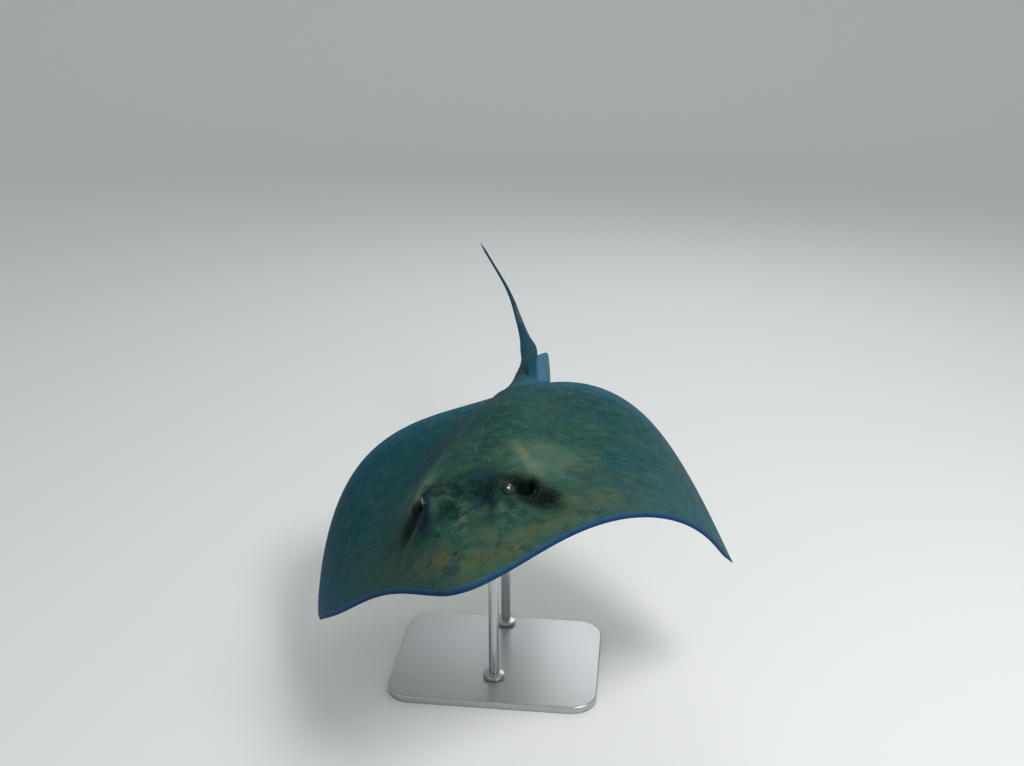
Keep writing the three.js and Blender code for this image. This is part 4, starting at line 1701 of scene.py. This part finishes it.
@dataclass(frozen=True)
class SkinFinish:
    """Olive-brown back going to slate blue at the wings, and a white belly."""

    olive: Colour = rgb(50, 87, 62)
    green: Colour = rgb(14, 69, 64)
    teal: Colour = rgb(6, 67, 82)
    slate: Colour = rgb(40, 96, 116)
    brown: Colour = rgb(80, 88, 60)
    navy: Colour = rgb(14, 46, 76)
    # a pale colour used for painted highlights: on the snout's ridge, on the rims behind the spiracles and
    # on the left shoulder
    crest: Colour = rgb(124, 126, 100)
    rust: Colour = rgb(104, 94, 60)
    # near black: the temples, partly pigment and partly painted shade, and painted shade inside the
    # spiracles and lid openings
    dark: Colour = rgb(7, 20, 14)
    # dark teal for the fine dark mottling, and as painted shade over the crown and the head's far side
    shade: Colour = rgb(4, 35, 32)
    pale: Colour = rgb(130, 152, 140)
    ridge: Colour = rgb(78, 112, 98)
    # the front margin's blue band: partly the margin's own dark edge, partly a painted reflection of blue
    # light on the turned-down lip
    rim: Colour = rgb(22, 52, 98)
    rim_inner: Colour = rgb(44, 84, 120)
    tail: Colour = rgb(20, 66, 88)
    tail_root: Colour = rgb(10, 56, 56)
    # dark teal painted as the shade on the far side of the trunk's hump
    far_back_shade: Colour = rgb(4, 50, 68)
    fin: Colour = rgb(78, 116, 140)
    belly: Colour = rgb(220, 222, 214)
    belly_edge: Colour = rgb(112, 110, 104)
    flesh: Colour = rgb(172, 138, 130)
    # near black, painted as the shade deep inside the openings
    pit: Colour = rgb(4, 7, 9)
    # deep navy, painted as shade
    deep: Colour = rgb(3, 22, 46)

    def back(self, s: Shader, flat: Socket) -> Socket:
        """The colour of the back, from the snout to the wing tips.

        Args:
            s: The skin's shader.
            flat: Place on the flat animal.

        Returns:
            The colour.
        """
        x, y, _ = s.parts(flat)
        across = x.abs()
        inset, lead = s.attribute("inset"), s.attribute("lead")
        clouds = s.noise(flat, 8.0, 3.0)
        blotch = s.noise(flat, 26.0, 4.0, 0.6, shift=3.1)
        small = s.noise(flat, 62.0, 3.0, 0.6, shift=9.3)
        warm = s.noise(flat, 34.0, 3.0, 0.6, shift=15.7)
        cool = s.noise(flat, 30.0, 3.0, 0.6, shift=22.4)
        to_wing = (across + (clouds - 0.5) * 0.12).ramp(0.10, 0.36)
        front = (1.0 - (y + (clouds - 0.5) * 0.14).ramp(-0.20, 0.06)) * (1.0 - to_wing * 0.6)
        near_edge = 1.0 - (inset + (blotch - 0.5) * 0.03).ramp(0.004, 0.085)
        fringe = (lead + (clouds - 0.5) * 0.03).bell(0.040, 0.028) * (1.0 - across.ramp(0.10, 0.30))
        patches = clouds.ramp(0.50, 0.66) * (1.0 - to_wing) * front * 0.4
        cheek = x.bell(-0.040, 0.026) * (y + x * 0.3).bell(-0.274, 0.018)
        side = across.bell(0.130, 0.026) * y.bell(-0.165, 0.024)
        colour = s.layered(
            s.mix(blotch.ramp(0.36, 0.64) * 0.4 + front * 0.4, self.green, self.olive),
            (to_wing, self.teal),
            (y.ramp(0.05, 0.34) * 0.6, self.teal),
            (near_edge * (y.ramp(-0.14, 0.10) * 0.85 + 0.10), self.slate),
            (fringe * (blotch.ramp(0.30, 0.62) * 0.6 + 0.25), self.brown),
            ((cheek * 0.7 + side * 0.45) * blotch.ramp(0.25, 0.6) + patches, self.brown),
            (warm.ramp(0.50, 0.68) * 0.32, self.brown),
            (cool.ramp(0.50, 0.68) * 0.36, self.navy),
            (small.ramp(0.52, 0.72) * 0.24, s.mix(to_wing, self.ridge, self.slate)),
            ((1.0 - small.ramp(0.30, 0.50)) * 0.45, self.shade),
            (cheek * small.ramp(0.25, 0.6) * 0.55, self.rust),
            # painted shade: the animal's right side, turned away from the key light, tinted bluer and darker
            ((0.02 - x).ramp(0.0, 0.14) * 0.30, self.teal),
            # painted shade along the far, right side of the trunk's hump
            ((x + 0.110).bell(0.0, 0.060) * y.bell(0.100, 0.090) * 0.45, self.far_back_shade),
            ((x + 0.165).bell(0.0, 0.055) * y.bell(-0.170, 0.050) * 0.45, self.green),
            # painted light: the left shoulder's hump, which faces the key light, made paler
            (x.bell(0.105, 0.045) * y.bell(-0.065, 0.032) * 0.20, self.crest),
            # painted light: the left wing, on the lit side, a little paler towards its tip
            (x.ramp(0.16, 0.30) * 0.10, self.pale),
        )
        return self.head(s, colour, x, y, blotch, small)

    def head(self, s: Shader, colour: Socket, x: Socket, y: Socket, blotch: Socket, small: Socket) -> Socket:
        """The head's marks: painted shade over the crown hollow, the far right side and beside the right eye
        knob; darker temples, partly pigment and partly painted shade; the pale ridges behind the spiracles,
        with a painted highlight on their rims; and a painted highlight along the snout's ridge.

        Args:
            s: The skin's shader.
            colour: The colour of the back without them.
            x: Place across the body.
            y: Place along the body.
            blotch: Noise the size of a blotch.
            small: Finer noise.

        Returns:
            The colour with them.
        """
        across = x.abs()
        patchy = blotch.ramp(0.40, 0.60) * small.ramp(0.30, 0.55)
        crown = across.bell(0.0, 0.105) * (y + across * 0.15).bell(-0.156, 0.064)
        far_side_shade = x.bell(-0.118, 0.042) * y.bell(-0.110, 0.055) * 0.55
        spots = across.bell(0.026, 0.040) * y.bell(-0.180, 0.045)
        streak = (x + 0.005 + (blotch - 0.5) * 0.012).bell(0.0, 0.006)
        streak = streak * (y + small * 0.04).bell(-0.188, 0.026)
        pools = x.bell(0.016, 0.016) * y.bell(-0.168, 0.016) + x.bell(0.026, 0.020) * y.bell(-0.117, 0.010)
        hollow = x.bell(-0.062, 0.021) * (y + x * 0.4).bell(-0.206, 0.026)
        knob = across.bell(0.044, 0.008) * (y + across * 0.4).bell(-0.174, 0.020)
        along = across * 0.82 - (y + 0.145) * 0.57
        aside = across * 0.57 + (y + 0.145) * 0.82
        temple = (along + small * 0.02).bell(0.074, 0.038) * aside.bell(0.046, 0.023)
        behind = (across - 0.078).bell(0.0, 0.026) * (y + across * 0.35).bell(-0.064, 0.017)
        arc = (across + (small - 0.5) * 0.012).bell(0.073, 0.018) * (y + across * 1.7).bell(0.042, 0.016)
        arc = arc * (patchy * 0.6 + 0.4) * (x.ramp(-0.02, 0.02) * 0.35 + 0.45)
        gills = across.bell(0.106, 0.034) * y.bell(-0.058, 0.040)
        return s.layered(
            colour,
            # painted shade in the crown's hollow between the eye knobs, broken up by the blotches
            ((crown * (1.15 - blotch.ramp(0.45, 0.70) * 0.5)).ramp(0.08, 1.0), self.shade),
            # painted shade on the far, right side of the head, away from the light
            (far_side_shade * (1.2 - blotch.ramp(0.40, 0.70) * 0.6), self.shade),
            (spots * patchy * 0.45, self.ridge),
            # painted highlight: a pale streak along the ridge down the snout's midline
            (streak * small.ramp(0.25, 0.65) * 0.30, self.crest),
            (pools * (0.4 + patchy * 0.6) * 0.7, self.navy),
            # painted shade on the outer side of the right eye knob
            ((hollow * (patchy * 0.4 + 0.9)).ramp(0.05, 0.9) * 0.95, self.deep),
            (knob * (patchy * 0.7 + 0.3) * 0.7, self.ridge),
            # a dark band beside each eye knob, partly pigment and partly painted shade in the groove there
            ((temple * 1.9).ramp(0.05, 1.0), self.dark),
            (behind * (small.ramp(0.2, 0.6) * 0.5 + 0.5) * 0.9, self.ridge),
            # painted highlight on the raised rim behind each spiracle, stronger on the left side, where the
            # light falls
            (arc, self.crest),
            (gills * (patchy * 0.5 + 0.5) * 0.5, self.ridge),
        )

    def make(self) -> Material:
        """The skin's colours, gloss and grain.

        Returns:
            The material, which reads the skin's attributes.
        """
        s = Shader("skin")
        flat = s.attribute("flat", "Vector")
        x, y, _ = s.parts(flat)
        across = x.abs()
        names = ("inset", "lead", "belly", "hollow", "lid")
        inset, lead, belly, hollow, lid = (s.attribute(name) for name in names)
        grain = s.noise(flat, 190.0, 4.0, 0.65, shift=7.7)
        chosen = s.noise(flat, 37.0, 2.0).ramp(0.54, 0.60)
        specks = (1.0 - s.cells(flat, 105.0).ramp(0.07, 0.13)) * chosen
        on_tail = y.ramp(0.34, 0.44)
        ridge = (1.0 - across.ramp(0.014, 0.034)) * (1.0 - y.ramp(0.44, 0.60))
        root = s.mix(ridge, self.tail, self.tail_root)
        pelvic = y.ramp(0.372, 0.385) * across.ramp(0.027, 0.034) * (1.0 - y.ramp(0.47, 0.49))
        mottled = s.mix(grain.ramp(0.35, 0.65) * 0.5, self.fin, self.slate)
        edge = lead + (grain - 0.5) * 0.003
        band = (1.0 - edge.ramp(0.0045, 0.0105)) * (1.0 - on_tail)
        blush = across.bell(0.07, 0.05) * y.bell(-0.02, 0.09) * 0.35
        below = s.layered(
            self.belly,
            ((1.0 - (inset + (grain - 0.5) * 0.02).ramp(0.008, 0.040)) * 0.85, self.belly_edge),
            (blush, self.flesh),
            (y.ramp(0.46, 0.56), self.tail),
        )
        colour = s.layered(
            self.back(s, flat),
            ((grain - 0.5).abs().ramp(0.03, 0.16) * 0.14, self.ridge),
            (specks * 0.7, self.pale),
            (on_tail, s.mix(grain.ramp(0.4, 0.65) * 0.3, root, self.slate)),
            (pelvic, s.mix(y.ramp(0.45, 0.468) * 0.5, mottled, self.tail)),
            # painted highlight along the rims of the lids
            (lid * grain.ramp(0.40, 0.60) * 0.5, self.ridge),
            # the front margin's band: partly its own dark edge, partly a painted reflection of blue light on
            # the turned-down lip
            (band * 0.85, s.mix(edge.ramp(0.001, 0.007), self.rim, self.rim_inner)),
            (belly * (1.0 - (1.0 - lead.ramp(0.0030, 0.0060)) * (1.0 - on_tail)), below),
            # painted shade inside the spiracles and the lids' openings, with the belly's openings flesh
            # coloured, and near black at the deepest
            (hollow.ramp(0.12, 0.6), s.mix(belly, self.dark, self.flesh)),
            (hollow.ramp(0.6, 1.0) * 0.9, self.pit),
        )
        pores = s.cells(s.stretched(flat, shift=1.3), 420.0)
        folds = s.noise(s.stretched(flat, (1.0, 1.4, 1.0), 5.0), 80.0, 3.0)
        normal = s.bump(pores * 0.35 + grain * 0.9 + folds * 0.6, 0.0007, 0.8)
        roughness = 0.46 + grain * 0.24
        return s.finish(Base_Color=colour, Roughness=roughness, Specular_IOR_Level=0.04, Normal=normal)


@dataclass(frozen=True)
class EyeFinish:
    """A wet eye with a dull gold iris and a dark crescent pupil."""

    white: Colour = rgb(20, 22, 20)
    iris: Colour = rgb(94, 92, 62)
    iris_dark: Colour = rgb(36, 38, 26)
    pupil: Colour = rgb(3, 4, 6)

    def make(self) -> Material:
        """The eye's white, iris and pupil under a clear coat.

        Returns:
            The material, which reads the place about the gaze.
        """
        s = Shader("eye")
        gaze = s.attribute("gaze", "Vector")
        along, across, _ = s.parts(gaze)
        angle = (along * along + across * across) ** 0.5
        fleck = s.noise(gaze, 16.0, 4.0, 0.7, shift=2.0)
        long, short = along / 0.44, (across + 0.04) / 0.25
        pupil = 1.0 - (long * long + short * short).ramp(0.82, 1.0)
        long, short = along / 0.25, (across - 0.20) / 0.23
        lobe = 1.0 - (long * long + short * short + (fleck - 0.5) * 0.5).ramp(0.8, 1.0)
        colour = s.layered(
            s.mix(fleck.ramp(0.32, 0.66), self.iris_dark, self.iris),
            (angle.ramp(0.40, 0.60), self.iris_dark),
            (angle.ramp(0.60, 0.68), self.white),
            (pupil * (1.0 - lobe), self.pupil),
        )
        return s.finish(Base_Color=colour, Roughness=0.2, Coat_Weight=0.7, Coat_Roughness=0.04)


@dataclass(frozen=True)
class StingFinish:
    """Grooved bone, stained dark by the skin that covers its root."""

    bone: Colour = rgb(78, 92, 92)
    stain: Colour = rgb(26, 50, 62)

    def make(self) -> Material:
        """The sting's streaked bone.

        Returns:
            The material.
        """
        s = Shader("sting")
        streak = s.noise(s.stretched(s.place(), (900, 60, 900)), 1.0, 3.0)
        root = 1.0 - s.attribute("blade").ramp(0.0, 0.55)
        colour = s.layered(self.bone, (streak.ramp(0.35, 0.65), self.stain), (root * 0.9, self.stain))
        return s.finish(Base_Color=colour, Roughness=0.45, Normal=s.bump(streak, 0.0002, 0.6))


@dataclass(frozen=True)
class ThornFinish:
    """Thorns a little paler than the skin that they stand in."""

    base: Colour = rgb(30, 60, 62)
    tip: Colour = rgb(88, 110, 104)

    def make(self) -> Material:
        """The thorns' plain finish.

        Returns:
            The material.
        """
        s = Shader("thorn")
        shade = s.noise(s.place(), 300.0, 2.0)
        return s.finish(Base_Color=s.mix(shade.ramp(0.3, 0.7), self.base, self.tip), Roughness=0.45)


class Steel(Enum):
    """The two finishes of the stand's steel: its name, the stretch of its lines and its roughness."""

    BRUSHED = ("brushed_steel", (1.0, 160.0, 1.0), 0.34)
    POLISHED = ("rod_steel", (90.0, 90.0, 3.0), 0.22)

    def make(self) -> Material:
        """Steel with fine lines and faint smudges.

        Returns:
            The material.
        """
        name, stretch, roughness = self.value
        s = Shader(name)
        place = s.place()
        lines = s.noise(s.stretched(place, stretch), 9.0, 4.0, 0.6)
        smudge = s.noise(place, 14.0, 3.0)
        colour = s.mix(lines * 0.5 + smudge * 0.3, rgb(176, 179, 182), rgb(205, 207, 209))
        rough = roughness + (lines - 0.5) * 0.12 + (smudge - 0.5) * 0.08
        return s.finish(Base_Color=colour, Metallic=1.0, Roughness=rough, Normal=s.bump(lines, 0.00006, 0.5))


# ------------------------------------------------------------------ the stand


def quarter_turn(steps: int) -> list[tuple[float, float]]:
    """A rounded edge from 0, 0 to 1, 1: how far in and how far up it has come at each step."""
    angles = [math.radians(90 * step / steps) for step in range(steps + 1)]
    return [(1 - math.cos(angle), math.sin(angle)) for angle in angles]


@dataclass
class Stand:
    """A flat steel base and two steel rods that end under the belly."""

    corner: float = 0.040
    corner_steps: int = 20
    edge: float = 0.0022
    rod_sides: int = 64
    collar_radius: float = 0.017
    collar_height: float = 0.009
    collar_edge: float = 0.0015
    collar_sink: float = 0.0002
    clearance: float = 0.0002

    def base(self) -> Piece:
        """The base plate, with round corners and a softened edge.

        Returns:
            The piece.
        """
        low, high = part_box("stand_base")
        middle, half = (low + high) / 2, (high - low) / 2
        outline = []
        for quarter, (sign_x, sign_y) in enumerate(((1, 1), (-1, 1), (-1, -1), (1, -1))):
            for step in range(self.corner_steps + 1):
                angle = math.radians(90 * (quarter + step / self.corner_steps))
                x = sign_x * (half.x - self.corner) + self.corner * math.cos(angle)
                outline.append((x, sign_y * (half.y - self.corner) + self.corner * math.sin(angle)))
        profile = [(self.edge * 0.4, low.z), (0.0, low.z + self.edge * 0.4)]
        profile += [(self.edge * inward, high.z - self.edge * (1 - up)) for inward, up in quarter_turn(6)]
        rings = []
        for inward, z in profile:
            narrow, short = 1 - inward / half.x, 1 - inward / half.y
            rings.append([(middle.x + x * narrow, middle.y + y * short, z) for x, y in outline])
        mesh = mesh_from("stand_plate", *ring_tube(np.array(rings)))
        for face in (mesh.polygons[-1], mesh.polygons[-2]):
            face.use_smooth = False
        return new_object("stand_plate", mesh)

    def _axis(self, node: str) -> tuple[float, float, float, float, float]:
        """x, y and radius of a rod, and the heights of its foot and its top."""
        low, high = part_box(node)
        return (low.x + high.x) / 2, (low.y + high.y) / 2, (high.x - low.x) / 2, low.z, high.z

    def _turned(self, name: str, profile: list[tuple[float, float]], x: float, y: float) -> Piece:
        """A closed turned piece about a vertical axis.

        Args:
            name: The piece's name.
            profile: Radius and height from the bottom to the top.
            x: Place of the axis.
            y: Place of the axis.

        Returns:
            The piece.
        """
        angle = np.linspace(0, 2 * np.pi, self.rod_sides, endpoint=False)
        across, along = np.cos(angle), np.sin(angle)
        rings = [np.stack([x + r * across, y + r * along, 0 * angle + z], 1) for r, z in profile]
        return new_object(name, mesh_from(name, *ring_tube(np.array(rings))))

    def rod(self, name: str, node: str, skin: Piece) -> Piece:
        """A rod whose top is cut to the belly that it carries.

        Args:
            name: The piece's name.
            node: The solid that it stands for.
            skin: The skin whose belly it carries.

        Returns:
            The piece.
        """
        x, y, radius, foot, top = self._axis(node)
        heights = (foot, foot + 0.02, lerp(foot + 0.02, top, 0.5), lerp(foot + 0.02, top, 1.0))
        piece = self._turned(name, [(radius, z) for z in heights], x, y)
        corners = [v.co.copy() for v in skin.data.vertices]
        tree = BVHTree.FromPolygons(corners, [tuple(p.vertices) for p in skin.data.polygons])
        for corner in piece.data.vertices:
            if corner.co.z > top - MM:
                start = Vector((corner.co.x, corner.co.y, foot + 0.03))
                corner.co.z = tree.ray_cast(start, Vector((0, 0, 1)))[0].z - self.clearance
        piece.data.polygons[-1].use_smooth = False
        return piece

    def collar(self, name: str, node: str) -> Piece:
        """A low turned collar round a rod's foot.

        Args:
            name: The piece's name.
            node: The solid of the rod.

        Returns:
            The piece.
        """
        x, y, bore, foot, _ = self._axis(node)
        r, h, soft, z = self.collar_radius, self.collar_height, self.collar_edge, foot - self.collar_sink
        profile = [(bore, z), (r, z), (r, z + h * 0.45)]
        profile += [(r - soft * inward, z + h * 0.6 + soft * up) for inward, up in quarter_turn(5)]
        profile += [(bore + 0.002, z + h), (bore, z + h)]
        return self._turned(name, profile, x, y)


# ------------------------------------------------------------------ floor, light and camera


@dataclass
class Studio:
    """A plain pale floor, soft light from above and the camera."""

    floor_colour: Colour = rgb(236, 237, 235)
    surround: Colour = rgb(226, 232, 236)
    surround_strength: float = 0.54
    distance: float = 1.766
    azimuth: float = 6.5
    elevation: float = 20.0
    lens: float = 40.43
    aim_right: float = 0.0236
    aim_up: float = 0.1440
    lamp_aim: tuple[float, float, float] = (0, 0.1, 0.3)
    floor_front: float = -6.0
    floor_rear: float = 5.0
    floor_half_width: float = 7.0
    bend_radius: float = 1.5
    wall_top: float = 6.0

    def _place(self, name: str, data: bpy.types.ID, at: Sequence[float], ahead: Vector) -> Piece:
        """Puts a camera or a lamp at a place, facing a way.

        Args:
            name: Its name.
            data: The camera's or lamp's data.
            at: Its place.
            ahead: The way that it faces.

        Returns:
            The camera or lamp.
        """
        item = new_object(name, data)
        item.location = at
        item.rotation_euler = ahead.to_track_quat("-Z", "Y").to_euler()
        return item

    def camera(self, centre: tuple[float, float, float]) -> None:
        """Sets the camera: it looks past the body's centre at a point a little right of and above it.

        Args:
            centre: The body's centre.
        """
        a, e = math.radians(self.azimuth), math.radians(self.elevation)
        right = Vector((math.cos(a), math.sin(a), 0))
        ahead = Vector((-math.sin(a) * math.cos(e), math.cos(a) * math.cos(e), -math.sin(e)))
        aim = Vector(centre) + right * self.aim_right + right.cross(ahead) * self.aim_up
        data = bpy.data.cameras.new("camera")
        data.lens = self.lens
        bpy.context.scene.camera = self._place("camera", data, aim - ahead * self.distance, ahead)

    def floor(self) -> None:
        """A wide floor that curves up far behind."""
        rear, radius, side = self.floor_rear, self.bend_radius, self.floor_half_width
        turn = [(rear + radius * up, radius * inward) for inward, up in quarter_turn(12)]
        profile = [(self.floor_front, 0.0), *turn, (rear + radius, self.wall_top)]
        points = [(x, y, z) for y, z in profile for x in (-side, side)]
        faces = [(2 * i, 2 * i + 1, 2 * i + 3, 2 * i + 2) for i in range(len(profile) - 1)]
        floor = new_object("floor", mesh_from("floor", np.array(points), faces))
        floor.data.materials.append(Shader("floor").finish(Base_Color=self.floor_colour, Roughness=0.8))

    def lamp(self, name: str, place: tuple[float, float, float], size: float, power: float) -> None:
        """A soft square lamp that faces the model.

        Args:
            name: Its name.
            place: Its place.
            size: The length of its side.
            power: Its power in watts.
        """
        data = bpy.data.lights.new(name, "AREA")
        data.size = size
        data.energy = power
        self._place(name, data, place, Vector(self.lamp_aim) - Vector(place))

    def world(self) -> None:
        """An even pale surround."""
        world = bpy.data.worlds.new("world")
        world.use_nodes = True
        background = world.node_tree.nodes["Background"]
        background.inputs["Color"].default_value = (*self.surround, 1.0)
        background.inputs["Strength"].default_value = self.surround_strength
        bpy.context.scene.world = world

    def build(self, centre: tuple[float, float, float]) -> None:
        """Makes the whole setting.

        Args:
            centre: The body's centre.
        """
        self.camera(centre)
        self.floor()
        self.lamp("key", (1.3, -0.6, 2.3), size=1.0, power=36.0)
        self.lamp("fill", (-1.8, -1.8, 1.5), size=2.0, power=4.0)
        self.lamp("back", (0.4, 2.4, 2.2), size=1.8, power=14.0)
        self.world()
        bpy.context.scene.view_settings.view_transform = "Standard"


# ------------------------------------------------------------------ assembly

FLESH = (
    "head", "trunk", "pectoral_fin_left", "pectoral_fin_right", "pelvic_fin_left",
    "pelvic_fin_right", "tail_base", "tail_middle", "tail_whip", "tail_fold",
)


@dataclass
class Model:
    """Builds every piece, gives it its body and hides the solids that it stands for."""

    skin: Skin = field(default_factory=Skin)
    stand: Stand = field(default_factory=Stand)

    def _own(self, piece: Piece, material: Material | None, slot: str, *nodes: str) -> None:
        """Dresses a finished piece and ties it to the model.

        Args:
            piece: The piece.
            material: Its material, or None if it has one.
            slot: Not used.
            nodes: The solids that it replaces.
        """
        if material is not None:
            piece.data.materials.clear()
            piece.data.materials.append(material)
        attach(piece, "root")
        if nodes:
            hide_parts(*nodes)
        log.info("%s: %d triangles", piece.name, sum(len(p.vertices) - 2 for p in piece.data.polygons))

    def _thorn_shares(self, mesh: Mesh) -> None:
        """Stores where thorns grow: a row along the midline and a scatter over the tail.

        Args:
            mesh: The skin's mesh.
        """
        x, y, z = vectors(mesh.attributes["flat"].data, "vector").T
        up = z > MM
        row = hump(x, 0.0, 0.0022) * smooth((y + 0.08) / 0.03) * smooth((0.66 - y) / 0.04)
        shoulder = hump(np.abs(x), 0.045, 0.010) * hump(y, 0.010, 0.020) * 0.5
        scatter = smooth((y - 0.36) / 0.08) * smooth((0.76 - y) / 0.05) * 0.8
        scatter *= smooth((0.022 - np.abs(x)) / 0.006)
        sparse = 0.25 * hump(x, 0, 0.02) * smooth((y + 0.08) / 0.05) * smooth((0.4 - y) / 0.1)
        store(mesh, "row", np.where(up, np.maximum(row, shoulder), 0.0))
        store(mesh, "scatter", np.where(up, np.maximum(scatter, sparse), 0.0))

    def build(self) -> None:
        """Makes the animal and its stand."""
        skin, form, pose = self.skin.build(), self.skin.form, self.skin.pose
        self._thorn_shares(skin.data)
        thorn, eye = ThornFinish().make(), EyeFinish().make()
        row = Thorns(
            "midline_thorns", "row", per_area=90000.0, gap=0.0075, height=0.0034, radius=0.0016, seed=3
        )
        small = Thorns(
            "tail_prickles", "scatter", per_area=60000.0, gap=0.0045, height=0.0013, radius=0.0008, seed=8
        )
        for thorns in (row, small):
            self._own(thorns.build(skin, thorn), None, "skin")
        self._own(skin, SkinFinish().make(), "skin", *FLESH)
        for name, side in SIDES.items():
            self._own(Eyeball(form.socket, pose, side).build(f"eyeball_{name}"), eye, "eye", f"eye_{name}")
        self._own(Sting(form, pose).build("sting_spine"), StingFinish().make(), "sting", "sting")
        self._own(self.stand.base(), Steel.BRUSHED.make(), "stand", "stand_base")
        steel = Steel.POLISHED.make()
        for end in ("front", "rear"):
            node = f"stand_rod_{end}"
            self._own(self.stand.rod(f"stand_post_{end}", node, skin), steel, "stand", node)
            self._own(self.stand.collar(f"stand_collar_{end}", node), steel, "stand")


def main() -> None:
    """Builds the model and its setting."""
    logging.basicConfig(level=logging.INFO, format="%(name)s: %(message)s")
    model = Model()
    model.build()
    Studio().build(model.skin.pose.centre)


if __name__ == "__main__":
    main()
